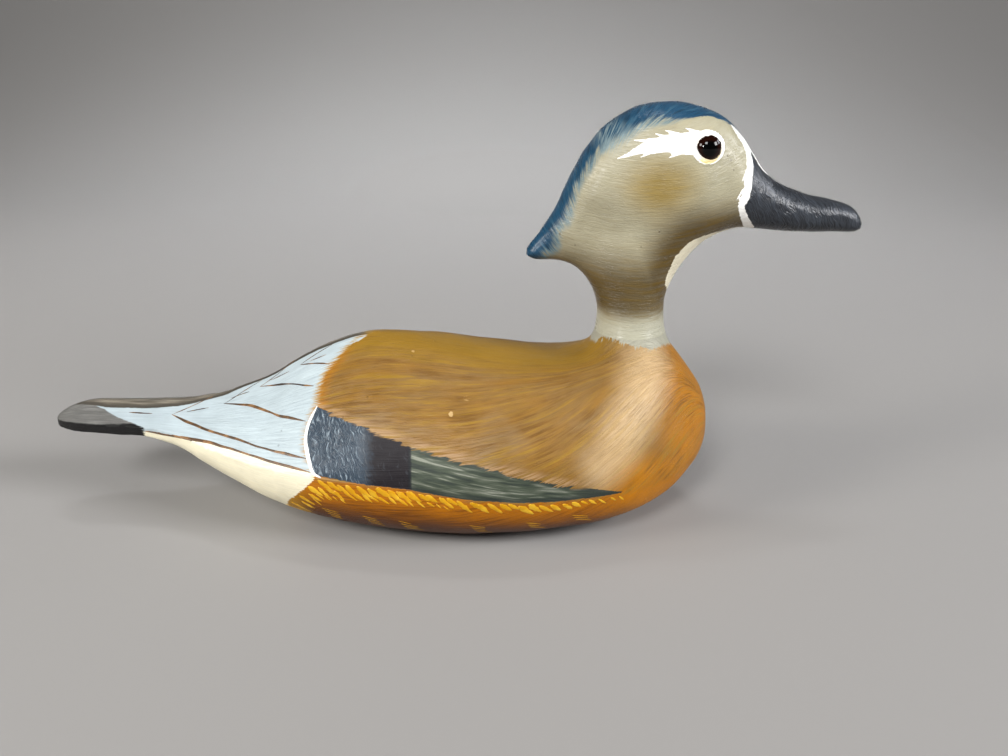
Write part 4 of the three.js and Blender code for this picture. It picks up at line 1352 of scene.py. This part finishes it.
# Yellow dabs along the flank: a close row under the wing, a looser one below it towards the rear, and
# groups of finer lines lower down, all slanting down and forward.
flankDabs = {
    "seed": 12, "spacing": 0.8, "wobble": 0.3, "taper": (0.25, 0.5), "color": "#c99000", "pale": "#d6a724",
    "rows": [  # each (from, to) along the body, and how far below the wing's edge
        {"from": -69, "to": 76, "every": 4.1, "below": 1.3, "long": 5.2, "wide": 3.0},
        {"from": -71, "to": 6, "every": 3.7, "below": 4.6, "long": 4.6, "wide": 2.0},
        {"from": -71, "to": -36, "every": 3.2, "below": 8.0, "long": 4.4, "wide": 1.5},
    ],
    "groups": [  # (place, height, how many)
        (-48, 21, 4), (-31, 19, 4), (-16, 18, 4), (13, 17, 4), (36, 17.5, 3), (55, 19, 3),
    ],
    "groupStep": (0.9, -1.9), "groupLong": (4.5, 7), "groupWide": (0.5, 0.7), "groupSlant": 0.3,
    "shift": 0.8, "lift": 0.5, "longShare": (0.8, 1.2), "wideShare": (0.75, 1.15), "slants": (0.6, 1.1),
    "tones": {"rows": 0.15, "groups": -0.3, "vary": 0.2},
    "fade": {"reach": 25, "over": 60, "least": 0.5},  # how a row's dabs grow smaller towards its front end
    "rearEdge": (-49, 1.15),  # behind this place the rows run down by this slope
}
rng = np.random.default_rng(flankDabs["seed"])
under = np.array(bodyPaint["flank"], float)
dabs = []
rear, slope = flankDabs["rearEdge"]
shift, lift, fade, tones = (flankDabs[name] for name in ("shift", "lift", "fade", "tones"))
for row in flankDabs["rows"]:
    for x in np.arange(row["from"], row["to"], row["every"]):
        x = x + rng.uniform(-shift, shift)
        top = np.interp(x, under[:, 0], under[:, 2]) - row["below"] - max(rear - x, 0) * slope
        small = np.clip((row["to"] + fade["reach"] - x) / fade["over"], fade["least"], 1)
        z = top + rng.uniform(-lift, lift)
        length = row["long"] * small * rng.uniform(*flankDabs["longShare"])
        width = row["wide"] * small * rng.uniform(*flankDabs["wideShare"])
        dabs.append((x, z, length, width, rng.uniform(*flankDabs["slants"]), tones["rows"]))
stepX, stepZ = flankDabs["groupStep"]
for x, z, count in flankDabs["groups"]:
    for k in range(count):
        length = rng.uniform(*flankDabs["groupLong"])
        width = rng.uniform(*flankDabs["groupWide"])
        slant = flankDabs["groupSlant"]
        dabs.append((x + k * stepX, z + k * stepZ, length, width, slant, tones["groups"]))
strokes = []
for side in (1, -1):
    for x, z, length, width, slant, tone in dabs:
        ends = [(x + length * t, z - length * t * slant) for t in (0, 0.5, 1)]
        path = spacedPath(sidePoints(ends), flankDabs["spacing"]) * (1, side, 1)
        laid = ribbon(path, width, rng, flankDabs["wobble"], flankDabs["taper"])
        strokes.append((laid, tone + rng.uniform(-tones["vary"], tones["vary"])))
strokePiece("flankDabs", strokes, makeStrokePaint("flankDab", flankDabs["color"], flankDabs["pale"]))

# Floor and wall in one pale sweep.
sweep = {"color": "#949290", "roughness": 0.7, "specular": 0.2, "width": 6.0, "front": -1.4, "back": 0.8,
         "bend": 1.4, "bendSteps": 24, "height": 3.0}


def makeSweep():
    back = sweep["back"]
    bend = sweep["bend"]
    profile = [(sweep["front"], 0)]
    for i in range(sweep["bendSteps"] + 1):
        turn = math.pi / 2 * i / sweep["bendSteps"]
        profile.append((back + bend * math.sin(turn), bend * (1 - math.cos(turn))))
    profile.append((back + bend, sweep["height"]))
    corners = [(side * sweep["width"] / 2, y, z) for y, z in profile for side in (-1, 1)]
    facets = [(2 * i, 2 * i + 1, 2 * i + 3, 2 * i + 2) for i in range(len(profile) - 1)]
    mesh = bpy.data.meshes.new("sweep")
    mesh.from_pydata(corners, [], facets)
    mesh.shade_smooth()
    material, _, surface = newMaterial("sweepPaper", sweep["specular"])
    surface["Base Color"].default_value = linear(sweep["color"])
    surface["Roughness"].default_value = sweep["roughness"]
    mesh.materials.append(material)
    piece = bpy.data.objects.new("sweep", mesh)
    bpy.context.scene.collection.objects.link(piece)


makeSweep()

# Soft lamps from the left, the right and in front, two small ones that only glint, one over the far
# floor, and a pale room.
studio = {
    "room": "#d2d5d8",
    "roomStrength": 0.14,
    "each": {"color": "#ffffff", "aim": (0.0, 0.0, 0.09), "spread": 180, "glint": False},
    "lamps": [  # which way each one stands from its aim and how far, and what differs from "each"
        {"name": "leftLamp", "toward": (-0.86, -0.4, 0.42), "away": 1.5, "size": 0.42, "power": 15,
         "color": "#fffaf2"},
        {"name": "rightLamp", "toward": (0.8, -0.4, 0.45), "away": 2.0, "size": 0.66, "power": 42,
         "color": "#fdfdff"},
        {"name": "topLamp", "toward": (-0.25, -0.73, 0.64), "away": 2.2, "size": 0.6, "power": 33},
        {"name": "frontLamp", "toward": (-0.61, -0.74, 0.27), "away": 1.6, "size": 0.2, "power": 14,
         "glint": True},
        {"name": "sideLamp", "toward": (0.88, 0.08, 0.43), "away": 1.6, "size": 0.5, "power": 9,
         "color": "#f2f6ff", "aim": (0.0, 0.0, 0.1), "glint": True},
        {"name": "farLamp", "toward": (0.0, 0.0, 1.0), "away": 3.0, "size": 1.0, "power": 5,
         "color": "#f4f7fb", "aim": (0.0, 0.95, 0.0), "spread": 34},
    ],
}


def lightStudio():
    world = bpy.data.worlds.new("room")
    world.use_nodes = True
    backdrop = world.node_tree.nodes["Background"]
    backdrop.inputs["Color"].default_value = linear(studio["room"])
    backdrop.inputs["Strength"].default_value = studio["roomStrength"]
    bpy.context.scene.world = world
    for row in studio["lamps"]:
        lamp = {**studio["each"], **row}
        light = bpy.data.lights.new(lamp["name"], "AREA")
        light.shape = "SQUARE"
        light.size = lamp["size"]
        light.energy = lamp["power"]
        light.color = linear(lamp["color"])[:3]
        light.spread = math.radians(lamp["spread"])
        holder = bpy.data.objects.new(lamp["name"], light)
        toward = Vector(lamp["toward"]).normalized()
        holder.location = Vector(lamp["aim"]) + toward * lamp["away"]
        holder.rotation_euler = toward.to_track_quat("Z", "Y").to_euler()
        holder.visible_diffuse = not lamp["glint"]
        bpy.context.scene.collection.objects.link(holder)
    print("studio", len(studio["lamps"]), "lamps")


lightStudio()
